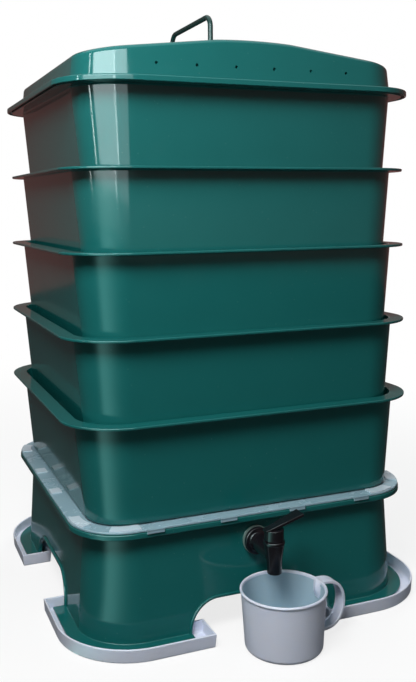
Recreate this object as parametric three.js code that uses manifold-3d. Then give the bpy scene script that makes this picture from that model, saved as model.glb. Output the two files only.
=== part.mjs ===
// A stacking wormery: a lid with a wire handle, five nested trays, a collector tray with a
// drain tap, an arched stand, four ant moats under its feet, and a cup under the spout.
// Millimetres, +Z up. The floor is at zero height and the tap is on the -Y side.
import * as THREE from 'three';
import { mergeVertices } from 'three/addons/utils/BufferGeometryUtils.js';
import Module from 'manifold-3d';

const wasm = await Module();
wasm.setup();

// Fits shared by several pieces
const seatGap = 0.3;
const cutOverrun = 5;
const cornerSteps = 7;
const roundSides = 24;
const smallSides = 16;

// Tray rims, which set the footprint
const trayCount = 5;
const rimHalfX = 210;
const rimHalfY = 198.8;
const rimRadius = 65;
const rimThick = 3;
const rimWidth = 14.8;
const trayHeight = 107;
const trayNest = 18.7;
const trayWall = 2.4;
const trayFloor = 2.4;
const trayTaperX = 12;
const trayTaperY = 5;
const trayTaperRadius = 8;
const trayChamfer = 3;
const drainRows = 6;
const drainSize = 14;
const drainPitch = 50;
const lugLength = 44;
const lugDrop = 16;
const lugReach = 5;

// Collector tray, the white tray that catches the liquid
const collectorOverX = 17.5;
const collectorOverY = 13.1;
const collectorOverRadius = 15.8;
const collectorRimTop = 122.7;
const collectorRimThick = 2.6;
const collectorRimWidthX = 24.7;
const collectorRimWidthY = 23.6;
const bowlWall = 2.4;
const bowlDepth = 58.7;
const bowlTaper = 7;
const bowlRadius = 44;
const padHeight = 1.5;
const padWidth = 9;
const padInset = 0.8;
const padLength = 36;
const padCornerShare = 0.77;
const smallPadLength = 15;
const smallPadPlace = 41;
const tabWidth = 19;
const tabEnd = 19.7;
const tabDrop = 1.8;
const tabThick = 1.6;
const tabsPerSide = 4;

// Stand
const standLipOver = 0.8;
const standLipHeight = 7.8;
const standPlateThick = 2.6;
const standWall = 2.5;
const standClearX = 6.1;
const standClearY = 10.1;
const standClearRadius = 3.6;
const standFlareX = 6;
const standFlareY = 7;
const standFlareRadius = 10;
const footWidth = 14;
const footThick = 2.6;
const archHalfFront = 82;
const archHalfSide = 73;
const archTop = 36;
const archRadius = 31;
const archBead = 3;
const archBeadRise = 2;
const archSteps = 6;

// Ant moats
const moatOutsideX = 9.8;
const moatOutsideY = 11.4;
const moatOutsideRadius = 9;
const moatInside = 7.7;
const moatWall = 2;
const moatFloor = 1.6;
const moatHeight = 14.3;
const moatEndClearX = 13.7;
const moatEndClearY = 1.6;
const moatDraft = 1;
const frontMoatShift = 4;

// Tap
const tapX = -6;
const tapLevelShare = 0.46;
const tapSeatProud = 0.54;
const washerRadius = 15;
const washerThick = 3;
const flangeRadius = 14.5;
const flangeThick = 4.4;
const barrelRadius = 9.5;
const tailRadius = 9;
const tailBore = 5;
const tailPast = 4.6;
const bossProud = 3.3;
const nutFlats = 30;
const nutSides = 6;
const nutThick = 8;
const innerWasherThick = 2.5;
const spoutReach = 42;
const spoutAbove = 15;
const spoutBelow = 19;
const spoutCollarOver = 0.9;
const spoutCollarHeight = 4;
const spoutWall = 2.5;
const spoutBore = 5;
const chamberRadius = 8;
const chamberDepth = 23;
const plugPort = 3.6;
const stemSize = 7;
const stemHeight = 8;
const ringGrooveDepth = 1.6;
const ringGrooveHeight = 2.4;
const ringDepth = 3;
const capRadius = 10.4;
const capHeight = 11.5;
const capDome = 2.2;
const leverTipReach = 32;
const leverRootReach = 8;
const leverRootWidth = 8;
const leverTipWidth = 16;
const leverThick = 3;
const leverRise = 13.6;

// Cup
const cupSideways = 5.3;
const cupStandOff = 10.1;
const cupHeadroom = 12.4;
const cupRimRadius = 44.1;
const cupBaseRadius = 40.4;
const cupWall = 1.8;
const cupBead = 1.1;
const cupBeadHeight = 2.6;
const cupHandleTurn = 4;
const cupHandleOut = 27.4;
const cupHandleWidth = 11.5;
const cupHandleThick = 3.2;
const cupHandleFootShare = 0.16;
const cupHandleMidShare = 0.604;
const cupHandleFullness = 0.7;
const cupHandleSteps = 12;

// Lid
const brimOver = 5.7;
const brimThick = 3.5;
const brimLipDrop = 2.9;
const brimLipThick = 2.2;
const lidWallOver = 0.4;
const lidWall = 2.6;
const lidDraft = 2;
const lidEndHeight = 27.5;
const lidShoulderHeight = 45.4;
const lidCrownRise = 1.4;
const lidCrestHalf = 45;
const lidCrestSteps = 6;
const lidSpigotDrop = 9;
const lidSpigotClear = 1.2;
const ventPitch = 45.8;
const ventCount = 6;
const ventRadius = 1.7;
const ventSides = 8;
const ventHeight = 16;

// Lid handle
const handleX = -4;
const handleHalfLength = 67;
const handleRise = 51;
const handleRodRadius = 3.25;
const handleBend = 14;
const handleBelow = 9;
const handleSides = 8;
const handleSteps = 32;
const clipRadius = 8.5;
const clipThick = 2.4;

// Sizes and places that follow from the ones above: trays and collector tray
const trayPitch = trayHeight - trayNest;
const bodyHalfX = rimHalfX - rimWidth;
const bodyHalfY = rimHalfY - rimWidth;
const bodyRadius = rimRadius - rimWidth;
const collectorRimHalfX = bodyHalfX - trayTaperX + collectorOverX;
const collectorRimHalfY = bodyHalfY - trayTaperY + collectorOverY;
const collectorRimRadius = bodyRadius - trayTaperRadius + collectorOverRadius;
const collectorRimBottom = collectorRimTop - collectorRimThick;
const bowlHalfX = collectorRimHalfX - collectorRimWidthX;
const bowlHalfY = collectorRimHalfY - collectorRimWidthY;
const bowlFloorLevel = collectorRimTop - bowlDepth;
const tabPitch = (collectorRimHalfX - collectorRimRadius - tabEnd) * 2 / (tabsPerSide - 1);
const stackBase = collectorRimTop + seatGap;
const topRimLevel = stackBase + (trayCount - 1) * trayPitch + trayHeight;
const brimBottom = topRimLevel + seatGap;
const brimTop = brimBottom + brimThick;

// Lid
const lidWallHalfX = bodyHalfX + lidWallOver;
const lidWallHalfY = bodyHalfY + lidWallOver;
const lidWallRadius = bodyRadius + lidWallOver;
const lidCrestHeight = lidShoulderHeight + lidCrownRise;

// Stand and moats
const standTop = collectorRimBottom - seatGap;
const standBottom = moatFloor + seatGap;
const standLipHalfX = collectorRimHalfX + standLipOver;
const standLipHalfY = collectorRimHalfY + standLipOver;
const standLipRadius = collectorRimRadius + standLipOver;
const standTopHalfX = bowlHalfX + bowlWall + standClearX;
const standTopHalfY = bowlHalfY + bowlWall + standClearY;
const standTopRadius = bowlRadius + bowlWall + standClearRadius;
const moatHalfX = standTopHalfX + standFlareX + footWidth + moatOutsideX;
const moatHalfY = standTopHalfY + standFlareY + footWidth + moatOutsideY;
const moatRadius = standTopRadius + standFlareRadius + footWidth + moatOutsideRadius;
const moatWidth = moatOutsideX + footWidth + standWall + moatInside + moatWall;
const moatArmX = moatHalfX + moatWall + moatEndClearX - archHalfFront;
const moatArmY = moatHalfY + frontMoatShift + moatWall + moatEndClearY - archHalfSide;
const backMoatShift = moatOutsideY - moatWall - moatDraft - seatGap;

// Tap, from the stand's sloping wall outwards and back through the bowl's
const tapLevel = bowlFloorLevel + tapLevelShare * bowlDepth;
const standSlope = standFlareY / (standTop - standBottom);
const bowlSlope = bowlTaper / bowlDepth;
const tapSeatFace = standTopHalfY + standSlope * (standTop - tapLevel + washerRadius) + tapSeatProud;
const collectorBossFace = standTopHalfY - standWall - seatGap
  + standSlope * (standTop - tapLevel - washerRadius);
const collectorBossBack = bowlHalfY - bossProud
  - bowlSlope * (collectorRimTop - tapLevel + washerRadius);
const washerFront = tapSeatFace + seatGap + washerThick;
const flangeBack = washerFront + seatGap;
const flangeFront = flangeBack + flangeThick;
const spoutY = flangeBack + spoutReach;
const nutFront = collectorBossBack - innerWasherThick - seatGap * 2;
const tailEnd = nutFront - nutThick - tailPast;
const spoutTop = tapLevel + spoutAbove;
const spoutOutletLevel = tapLevel - spoutBelow;
const spoutTopRadius = chamberRadius + spoutWall;
const spoutOutletRadius = spoutBore + spoutWall;
const chamberFloor = spoutTop - chamberDepth;
const plugRadius = chamberRadius - seatGap;
const plugTop = spoutTop - seatGap;
const plugBottom = chamberFloor + seatGap;
const ringLevel = spoutTop - ringDepth;
const knobTop = spoutTop + seatGap + capHeight;

// Cup, which stands a little forward of the spout and clear of its end
const cupX = tapX + cupSideways;
const cupY = -(tapSeatFace + cupStandOff + cupRimRadius + cupBead);
const cupHeight = spoutOutletLevel - cupHeadroom;
const cupHandleReach = cupRimRadius + cupHandleOut;
const cupHandleFoot = cupHandleFootShare * cupHeight;
const cupHandleMid = cupHandleMidShare * cupHeight;

// The middle of the footprint along Y
const frontReach = cupRimRadius + cupBead - cupY;
const backReach = Math.max(moatHalfY - backMoatShift, rimHalfY + brimOver);
const middleY = (frontReach - backReach) / 2;

// Geometry helpers

// A rounded rectangle at one level, anticlockwise seen from above.
function outline(halfX, halfY, radius, level, centreY = 0) {
  const signs = [[1, -1], [1, 1], [-1, 1], [-1, -1]];
  return signs.flatMap(([sideX, sideY], quarter) => {
    const arc = [];
    for (let step = 0; step <= cornerSteps; step += 1) {
      const turn = (quarter - 1 + step / cornerSteps) * Math.PI / 2;
      const x = sideX * (halfX - radius) + radius * Math.cos(turn);
      const y = centreY + sideY * (halfY - radius) + radius * Math.sin(turn);
      arc.push(new THREE.Vector3(x, y, level));
    }
    return arc;
  });
}

// A closed solid through a stack of outlines with equal counts, lowest first.
function loft(rings) {
  const count = rings[0].length;
  const vertices = rings.flat();
  const faces = [];
  for (let ring = 0; ring + 1 < rings.length; ring += 1) {
    for (let i = 0; i < count; i += 1) {
      const a = ring * count + i;
      const b = ring * count + (i + 1) % count;
      faces.push(a, b, b + count, a, b + count, a + count);
    }
  }
  const top = (rings.length - 1) * count;
  for (let i = 1; i + 1 < count; i += 1) {
    faces.push(0, i + 1, i, top, top + i, top + i + 1);
  }
  const geometry = new THREE.BufferGeometry().setFromPoints(vertices);
  geometry.setIndex(faces);
  return solid(geometry);
}

// Turns a closed three.js geometry into a solid that can be joined and cut.
function solid(geometry) {
  const bare = geometry.clone();
  bare.deleteAttribute('normal');
  bare.deleteAttribute('uv');
  const merged = mergeVertices(bare);
  const index = merged.index.array;
  const kept = [];
  for (let i = 0; i < index.length; i += 3) {
    const [a, b, c] = [index[i], index[i + 1], index[i + 2]];
    if (a !== b && b !== c && c !== a) kept.push(a, b, c);
  }
  return new wasm.Manifold(new wasm.Mesh({
    numProp: 3,
    vertProperties: new Float32Array(merged.attributes.position.array),
    triVerts: new Uint32Array(kept),
  }));
}

// A box between any two opposite corners.
function box(corner, opposite) {
  const size = opposite.map((value, axis) => Math.abs(value - corner[axis]));
  const geometry = new THREE.BoxGeometry(...size);
  const centre = corner.map((value, axis) => (value + opposite[axis]) / 2);
  geometry.translate(...centre);
  return solid(geometry);
}

// A turned solid about a vertical axis, from [radius, level] pairs that start and end on it.
function turned(profile, x = 0, y = 0, sides = roundSides) {
  const points = profile.map(([radius, level]) => new THREE.Vector2(radius, level));
  const geometry = new THREE.LatheGeometry(points, sides);
  geometry.rotateX(Math.PI / 2);
  geometry.translate(x, y, 0);
  return solid(geometry);
}

// An upright cylinder or cone between two levels.
function post(radius, low, high, x = 0, y = 0, topRadius = radius, sides = roundSides) {
  const geometry = new THREE.CylinderGeometry(topRadius, radius, high - low, sides);
  geometry.rotateX(Math.PI / 2);
  geometry.translate(x, y, (low + high) / 2);
  return solid(geometry);
}

// A cylinder along Y from one distance in front of the centre to another.
function rod(radius, front, back, x, level, sides = roundSides) {
  const geometry = new THREE.CylinderGeometry(radius, radius, front - back, sides);
  geometry.rotateY(Math.PI / sides);
  geometry.translate(x, -(front + back) / 2, level);
  return solid(geometry);
}

// A flat shape drawn across and up, pushed through along Y, or along X when sideways.
function pushedThrough(shape, low, high, sideways = false) {
  const geometry = new THREE.ExtrudeGeometry(shape, { depth: high - low, bevelEnabled: false });
  geometry.rotateX(Math.PI / 2);
  geometry.translate(0, high, 0);
  if (sideways) geometry.rotateZ(-Math.PI / 2);
  return solid(geometry);
}

function join(...solids) {
  return solids.reduce((sum, next) => sum.add(next));
}

function mesh(name, body, finish) {
  const { vertProperties, triVerts } = body.getMesh();
  const geometry = new THREE.BufferGeometry();
  geometry.setAttribute('position', new THREE.BufferAttribute(vertProperties, 3));
  geometry.setIndex(new THREE.BufferAttribute(triVerts, 1));
  geometry.computeVertexNormals();
  const result = new THREE.Mesh(geometry, new THREE.MeshStandardMaterial(finish));
  result.name = name;
  return result;
}

const greenPlastic = { color: 0x0f5a48, roughness: 0.28, metalness: 0 };
const whitePlastic = { color: 0xc3ccd6, roughness: 0.4, metalness: 0 };
const blackPlastic = { color: 0x101012, roughness: 0.35, metalness: 0 };
const washerRubber = { color: 0x5f6e6a, roughness: 0.7, metalness: 0 };
const sealRubber = { color: 0x1c1c1c, roughness: 0.8, metalness: 0 };
const coatedWire = { color: 0x2f7060, roughness: 0.35, metalness: 0.3 };
const springSteel = { color: 0x9a9c9e, roughness: 0.35, metalness: 1 };

// Trays

// An outline of the tray body at a height above its underside, drawn in by an inset.
function trayOutline(height, inset) {
  const drop = (trayHeight - height) / trayHeight;
  return outline(
    bodyHalfX - trayTaperX * drop - inset,
    bodyHalfY - trayTaperY * drop - inset,
    bodyRadius - trayTaperRadius * drop - inset,
    height,
  );
}

// Lugs inside the walls carry the tray above, just past its bottom edge.
function trayLugs() {
  const top = trayPitch - seatGap;
  const innerX = bodyHalfX - trayTaperX - lugReach;
  const innerY = bodyHalfY - trayTaperY - lugReach;
  const along = lugLength / 2;
  const ring = [
    box([innerX, -along, top - lugDrop], [bodyHalfX, along, top]),
    box([-bodyHalfX, -along, top - lugDrop], [-innerX, along, top]),
    box([-along, innerY, top - lugDrop], [along, bodyHalfY, top]),
    box([-along, -bodyHalfY, top - lugDrop], [along, -innerY, top]),
  ];
  const body = loft([trayOutline(0, trayWall / 2), trayOutline(trayHeight, trayWall / 2)]);
  return join(...ring).intersect(body);
}

function drainHoles() {
  const holes = [];
  const half = drainSize / 2;
  for (let row = 0; row < drainRows; row += 1) {
    for (let column = 0; column < drainRows; column += 1) {
      const x = (column - (drainRows - 1) / 2) * drainPitch;
      const y = (row - (drainRows - 1) / 2) * drainPitch;
      holes.push(box(
        [x - half, y - half, -cutOverrun],
        [x + half, y + half, trayFloor + cutOverrun],
      ));
    }
  }
  return join(...holes);
}

function traySolid() {
  const body = loft([
    trayOutline(0, trayChamfer),
    trayOutline(trayChamfer, 0),
    trayOutline(trayHeight, 0),
  ]);
  const rim = loft([
    outline(rimHalfX, rimHalfY, rimRadius, trayHeight - rimThick),
    outline(rimHalfX, rimHalfY, rimRadius, trayHeight),
  ]);
  const hollow = loft([
    trayOutline(trayFloor, trayWall),
    trayOutline(trayHeight + cutOverrun, trayWall),
  ]);
  return join(body, rim).subtract(hollow).add(trayLugs()).subtract(drainHoles());
}

function makeTrays() {
  const shape = traySolid();
  const trays = [];
  for (let place = 0; place < trayCount; place += 1) {
    const tray = mesh(`tray_${trayCount - place}`, shape, greenPlastic);
    tray.position.z = stackBase + place * trayPitch;
    trays.push(tray);
  }
  return trays;
}

// Collector tray

// The bowl narrows as it goes down; grow moves its outline outwards.
function bowlOutline(level, grow) {
  const drop = (collectorRimTop - level) / bowlDepth;
  return outline(
    bowlHalfX + grow - bowlTaper * drop,
    bowlHalfY + grow - bowlTaper * drop,
    bowlRadius + grow - bowlTaper * drop,
    level,
  );
}

function collectorRimOutline(inset, level) {
  return outline(
    collectorRimHalfX - inset,
    collectorRimHalfY - inset,
    collectorRimRadius - inset,
    level,
  );
}

// Low raised pads on the rim that keep the bottom tray in its place.
function collectorPads() {
  const low = collectorRimTop - collectorRimThick / 2;
  const high = collectorRimTop + padHeight;
  const inner = padInset + padWidth;
  const ring = loft([collectorRimOutline(padInset, low), collectorRimOutline(padInset, high)])
    .subtract(loft([
      collectorRimOutline(inner, low - cutOverrun),
      collectorRimOutline(inner, high + cutOverrun),
    ]));
  const pads = [];
  const middleX = padCornerShare * collectorRimHalfX;
  const middleSide = padCornerShare * collectorRimHalfY;
  for (const sideX of [-1, 1]) {
    for (const sideY of [-1, 1]) {
      const places = [
        [sideX * middleX, sideY * collectorRimHalfY, padLength / 2, padLength],
        [sideX * collectorRimHalfX, sideY * middleSide, padLength, padLength / 2],
        [sideX * collectorRimHalfX, sideY * smallPadPlace, smallPadLength, smallPadLength / 2],
      ];
      for (const [x, y, halfX, halfY] of places) {
        pads.push(box([x - halfX, y - halfY, low], [x + halfX, y + halfY, high]));
      }
    }
  }
  return ring.intersect(join(...pads));
}

// Clip tabs at the front and the back reach out over the lip of the stand and hook down
// in front of it.
function collectorTabs() {
  const tabs = [];
  const half = tabWidth / 2;
  const drop = collectorRimBottom - tabDrop;
  for (let place = 0; place < tabsPerSide; place += 1) {
    const at = (place - (tabsPerSide - 1) / 2) * tabPitch;
    for (const side of [-1, 1]) {
      const hook = side * (standLipHalfY + seatGap);
      const far = hook + side * tabThick;
      const rim = side * (collectorRimHalfY - padInset);
      tabs.push(
        box([at - half, rim, collectorRimBottom], [at + half, far, collectorRimTop]),
        box([at - half, hook, drop], [at + half, far, collectorRimTop]),
      );
    }
  }
  return join(...tabs);
}

function makeCollector() {
  const rim = loft([
    collectorRimOutline(0, collectorRimBottom),
    collectorRimOutline(0, collectorRimTop),
  ]);
  const bowl = loft([
    bowlOutline(bowlFloorLevel, bowlWall - trayChamfer),
    bowlOutline(bowlFloorLevel + trayChamfer, bowlWall),
    bowlOutline(collectorRimTop, bowlWall),
  ]);
  const hollow = loft([
    bowlOutline(bowlFloorLevel + bowlWall, 0),
    bowlOutline(collectorRimTop + cutOverrun, 0),
  ]);
  const boss = rod(washerRadius, collectorBossFace, collectorBossBack, tapX, tapLevel);
  const bore = rod(
    tailRadius + seatGap,
    collectorBossFace + cutOverrun,
    collectorBossBack - cutOverrun,
    tapX,
    tapLevel,
  );
  const shape = join(rim, bowl).subtract(hollow).add(boss).subtract(bore)
    .add(collectorPads())
    .add(collectorTabs());
  return mesh('collector_tray', shape, whitePlastic);
}

// Stand

// The stand's wall spreads as it goes down; grow moves it outwards.
function standOutline(level, grow) {
  const drop = (standTop - level) / (standTop - standBottom);
  return outline(
    standTopHalfX + standFlareX * drop + grow,
    standTopHalfY + standFlareY * drop + grow,
    standTopRadius + standFlareRadius * drop + grow,
    level,
  );
}

// An arch with round shoulders, from below the floor up; grow makes it larger all round.
function archShape(half, grow) {
  const side = half + grow;
  const top = archTop + grow;
  const radius = archRadius + grow;
  const shape = new THREE.Shape();
  shape.moveTo(side, -cutOverrun);
  for (let step = 0; step <= archSteps; step += 1) {
    const turn = step / archSteps * Math.PI / 2;
    shape.lineTo(side - radius + radius * Math.cos(turn), top - radius + radius * Math.sin(turn));
  }
  for (let step = 0; step <= archSteps; step += 1) {
    const turn = (1 + step / archSteps) * Math.PI / 2;
    shape.lineTo(radius - side + radius * Math.cos(turn), top - radius + radius * Math.sin(turn));
  }
  shape.lineTo(-side, -cutOverrun);
  shape.closePath();
  return shape;
}

// Both pairs of arches, as prisms that run right through the stand.
function arches(grow) {
  const reach = moatHalfX + cutOverrun;
  return join(
    pushedThrough(archShape(archHalfFront, grow), -reach, reach),
    pushedThrough(archShape(archHalfSide, grow), -reach, reach, true),
  );
}

function makeStand() {
  const wall = loft([standOutline(standBottom, 0), standOutline(standTop, 0)]);
  const foot = loft([
    standOutline(standBottom, footWidth),
    standOutline(standBottom + footThick, footWidth),
  ]);
  const plate = loft([
    outline(standLipHalfX, standLipHalfY, standLipRadius, standTop - standLipHeight),
    outline(standLipHalfX, standLipHalfY, standLipRadius, standTop),
  ]);
  const lipHollow = loft([
    outline(
      standLipHalfX - standPlateThick,
      standLipHalfY - standPlateThick,
      standLipRadius - standPlateThick,
      standTop - standLipHeight - cutOverrun,
    ),
    outline(
      standLipHalfX - standPlateThick,
      standLipHalfY - standPlateThick,
      standLipRadius - standPlateThick,
      standTop - standPlateThick,
    ),
  ]);
  const bead = loft([standOutline(standBottom, archBeadRise), standOutline(standTop, archBeadRise)])
    .intersect(arches(archBead));
  const seat = rod(washerRadius, tapSeatFace, tapSeatFace - washerRadius, tapX, tapLevel);
  const hollow = loft([
    standOutline(standBottom - cutOverrun, -standWall),
    standOutline(standTop + cutOverrun, -standWall),
  ]);
  const bore = rod(
    tailRadius + seatGap,
    tapSeatFace + cutOverrun,
    collectorBossFace - cutOverrun,
    tapX,
    tapLevel,
  );
  const shape = plate.subtract(lipHollow)
    .add(join(wall, foot, bead, seat))
    .subtract(hollow)
    .subtract(arches(0))
    .subtract(bore);
  return mesh('stand', shape, greenPlastic);
}

// Ant moats

// One corner channel; sideX and sideY say which corner, and shift moves it outwards along Y.
function makeMoat(name, sideX, sideY, shift) {
  const ring = (inset, level) => outline(
    moatHalfX - inset,
    moatHalfY - inset,
    moatRadius - inset,
    level,
    sideY * shift,
  );
  const quarter = (inset, low, high) => {
    const farX = sideX * (moatHalfX + cutOverrun);
    const nearX = sideX * (moatHalfX - moatArmX + inset);
    const farY = sideY * (moatHalfY + shift + cutOverrun);
    const nearY = sideY * (moatHalfY + shift - moatArmY + inset);
    return box([nearX, nearY, low], [farX, farY, high]);
  };
  const channel = (inset, low, high) => {
    const outer = loft([ring(inset + moatDraft, low), ring(inset, high)]);
    const inner = loft([
      ring(moatWidth - inset, low - cutOverrun),
      ring(moatWidth - inset, high + cutOverrun),
    ]);
    return outer.subtract(inner).intersect(quarter(inset, low - cutOverrun, high + cutOverrun));
  };
  const shape = channel(0, 0, moatHeight)
    .subtract(channel(moatWall, moatFloor, moatHeight + cutOverrun));
  return mesh(name, shape, whitePlastic);
}

// Tap

function makeTapBody() {
  const shell = join(
    rod(flangeRadius, flangeFront, flangeBack, tapX, tapLevel),
    rod(barrelRadius, spoutY, flangeBack, tapX, tapLevel),
    rod(tailRadius, flangeFront, tailEnd, tapX, tapLevel),
    post(spoutOutletRadius, spoutOutletLevel, spoutTop - spoutCollarHeight, tapX, -spoutY,
      spoutTopRadius),
    post(spoutTopRadius + spoutCollarOver, spoutTop - spoutCollarHeight, spoutTop, tapX, -spoutY),
  );
  const inlet = rod(tailBore, spoutY, tailEnd - cutOverrun, tapX, tapLevel, smallSides);
  const outlet = post(spoutBore, spoutOutletLevel - cutOverrun, spoutTop, tapX, -spoutY,
    spoutBore, smallSides);
  const chamber = post(chamberRadius, chamberFloor, spoutTop + cutOverrun, tapX, -spoutY);
  return mesh('tap_body', shell.subtract(join(inlet, outlet, chamber)), blackPlastic);
}

// A washer along the tap's tail, from its front face back.
function makeWasher(name, front, thick, finish) {
  const ring = rod(washerRadius, front, front - thick, tapX, tapLevel);
  const hole = rod(
    tailRadius + seatGap,
    front + cutOverrun,
    front - thick - cutOverrun,
    tapX,
    tapLevel,
  );
  return mesh(name, ring.subtract(hole), finish);
}

function makeBackNut() {
  const corner = nutFlats / 2 / Math.cos(Math.PI / nutSides);
  const hexagon = rod(corner, nutFront, nutFront - nutThick, tapX, tapLevel, nutSides);
  const thread = rod(
    tailRadius + seatGap,
    nutFront + cutOverrun,
    nutFront - nutThick - cutOverrun,
    tapX,
    tapLevel,
  );
  return mesh('tap_back_nut', hexagon.subtract(thread), blackPlastic);
}

// The valve plug has an elbow port: up from below, then out to the side that is shut at rest.
function makeTapPlug() {
  const grooveTop = ringLevel + ringGrooveHeight / 2;
  const grooveBottom = ringLevel - ringGrooveHeight / 2;
  const core = turned([
    [0, plugBottom],
    [plugRadius, plugBottom],
    [plugRadius, grooveBottom],
    [plugRadius - ringGrooveDepth, grooveBottom],
    [plugRadius - ringGrooveDepth, grooveTop],
    [plugRadius, grooveTop],
    [plugRadius, plugTop],
    [0, plugTop],
  ], tapX, -spoutY);
  const half = stemSize / 2;
  const stem = box(
    [tapX - half, -spoutY - half, plugTop - half],
    [tapX + half, -spoutY + half, plugTop + stemHeight],
  );
  const up = post(plugPort, plugBottom - cutOverrun, tapLevel, tapX, -spoutY, plugPort, smallSides);
  const side = box(
    [tapX - plugRadius - cutOverrun, -spoutY - plugPort, tapLevel - plugPort],
    [tapX, -spoutY + plugPort, tapLevel + plugPort],
  );
  return mesh('tap_plug', core.add(stem).subtract(up.add(side)), blackPlastic);
}

function makeTapRing() {
  const outer = plugRadius;
  const inner = plugRadius - ringGrooveDepth + seatGap;
  const half = ringGrooveHeight / 2 - seatGap;
  const middle = (outer + inner) / 2;
  const ring = turned([
    [0, ringLevel - half],
    [middle, ringLevel - half],
    [outer, ringLevel],
    [middle, ringLevel + half],
    [0, ringLevel + half],
  ], tapX, -spoutY).subtract(
    post(inner, ringLevel - cutOverrun, ringLevel + cutOverrun, tapX, -spoutY),
  );
  return mesh('tap_o_ring', ring, sealRubber);
}

// A knob that sits on the stem, with a paddle that rises as it goes out along +X.
function makeTapLever() {
  const bottom = spoutTop + seatGap;
  const knob = turned([
    [0, bottom],
    [capRadius, bottom],
    [capRadius, knobTop - capDome],
    [capRadius - capDome, knobTop],
    [0, knobTop],
  ], tapX, -spoutY);
  const root = -leverRootReach;
  const slope = leverRise / (leverTipReach + leverRootReach);
  const paddleSide = new THREE.Shape();
  paddleSide.moveTo(root, knobTop);
  paddleSide.lineTo(root, knobTop - leverThick);
  paddleSide.lineTo(0, knobTop - leverThick);
  paddleSide.lineTo(leverTipReach, knobTop + leverRise - leverThick);
  paddleSide.lineTo(leverTipReach - leverThick * slope, knobTop + leverRise);
  paddleSide.closePath();
  const widest = leverTipWidth / 2;
  const slab = pushedThrough(paddleSide, -widest, widest);
  const plan = new THREE.Shape();
  plan.moveTo(root, -leverRootWidth / 2);
  plan.lineTo(0, -leverRootWidth / 2);
  plan.lineTo(leverTipReach, -widest);
  plan.lineTo(leverTipReach, widest);
  plan.lineTo(0, leverRootWidth / 2);
  plan.lineTo(root, leverRootWidth / 2);
  plan.closePath();
  const height = leverRise + leverThick + cutOverrun;
  const column = new THREE.ExtrudeGeometry(plan, { depth: height * 2, bevelEnabled: false });
  column.translate(0, 0, knobTop - height);
  const paddle = slab.intersect(solid(column)).translate([tapX, -spoutY, 0]);
  const socketHalf = stemSize / 2 + seatGap;
  const socket = box(
    [tapX - socketHalf, -spoutY - socketHalf, bottom - cutOverrun],
    [tapX + socketHalf, -spoutY + socketHalf, plugTop + stemHeight + seatGap],
  );
  return mesh('tap_lever', knob.add(paddle).subtract(socket), blackPlastic);
}

// Cup

// The handle's centre line, as [reach from the cup's axis, level], from the rim to the foot.
function handleLine(offset) {
  const start = cupRimRadius - cupWall / 2;
  const points = [];
  for (let step = 0; step <= cupHandleSteps; step += 1) {
    const turn = Math.PI / 2 - Math.PI * step / cupHandleSteps;
    const high = cupHeight - cupHandleThick / 2 - cupHandleMid;
    const low = cupHandleMid - cupHandleFoot;
    const rise = turn > 0 ? high : low;
    const bulge = cupHandleReach - cupHandleThick / 2 - start;
    const swell = Math.pow(Math.cos(turn), cupHandleFullness);
    points.push([
      start + bulge * swell + offset * Math.cos(turn),
      cupHandleMid + rise * Math.sin(turn) + offset * Math.sin(turn),
    ]);
  }
  return points;
}

function makeCup() {
  const slope = (cupRimRadius - cupBaseRadius) / cupHeight;
  const beadLow = cupHeight - cupBeadHeight;
  const outer = turned([
    [0, 0],
    [cupBaseRadius - cupWall / 2, 0],
    [cupBaseRadius, cupWall],
    [cupRimRadius - slope * cupBeadHeight, beadLow],
    [cupRimRadius + cupBead, beadLow + cupBead],
    [cupRimRadius + cupBead, cupHeight - cupBead / 2],
    [cupRimRadius, cupHeight],
    [0, cupHeight],
  ]);
  const handleShape = new THREE.Shape();
  const ends = [...handleLine(cupHandleThick / 2), ...handleLine(-cupHandleThick / 2).reverse()];
  ends.forEach(([reach, level], place) => {
    if (place === 0) handleShape.moveTo(reach, level);
    else handleShape.lineTo(reach, level);
  });
  handleShape.closePath();
  const strap = pushedThrough(handleShape, -cupHandleWidth / 2, cupHandleWidth / 2)
    .rotate([0, 0, cupHandleTurn]);
  const inner = turned([
    [0, cupWall],
    [cupBaseRadius - cupWall, cupWall],
    [cupRimRadius - cupWall, cupHeight],
    [cupRimRadius - cupWall, cupHeight + cutOverrun],
    [0, cupHeight + cutOverrun],
  ]);
  const shape = outer.add(strap).subtract(inner).translate([cupX, cupY, 0]);
  return mesh('cup', shape, whitePlastic);
}

// Lid

// The roof's edge seen from the front: flat slopes up to a gently crowned middle.
function roofShape(inset, bottom) {
  const end = lidWallHalfX + cutOverrun;
  const slope = (lidShoulderHeight - lidEndHeight) / (lidWallHalfX - lidCrestHalf);
  const base = brimTop - inset;
  const shape = new THREE.Shape();
  shape.moveTo(-end, bottom);
  shape.lineTo(end, bottom);
  shape.lineTo(end, base + lidEndHeight - slope * cutOverrun);
  for (let step = 0; step <= lidCrestSteps; step += 1) {
    const share = 1 - 2 * step / lidCrestSteps;
    const crown = lidCrownRise * (1 - share * share);
    shape.lineTo(share * lidCrestHalf, base + lidShoulderHeight + crown);
  }
  shape.lineTo(-end, base + lidEndHeight - slope * cutOverrun);
  shape.closePath();
  return shape;
}

function lidWallOutline(level, inset) {
  const rise = (level - brimTop) / lidCrestHeight;
  return outline(
    lidWallHalfX - lidDraft * rise - inset,
    lidWallHalfY - lidDraft * rise - inset,
    lidWallRadius - lidDraft * rise - inset,
    level,
  );
}

function vents(level) {
  const holes = [];
  for (let place = 0; place < ventCount; place += 1) {
    const x = (place - (ventCount - 1) / 2) * ventPitch;
    holes.push(rod(ventRadius, lidWallHalfY + cutOverrun, lidWallHalfY - lidWallRadius / 2, x,
      level, ventSides));
  }
  return join(...holes);
}

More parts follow.
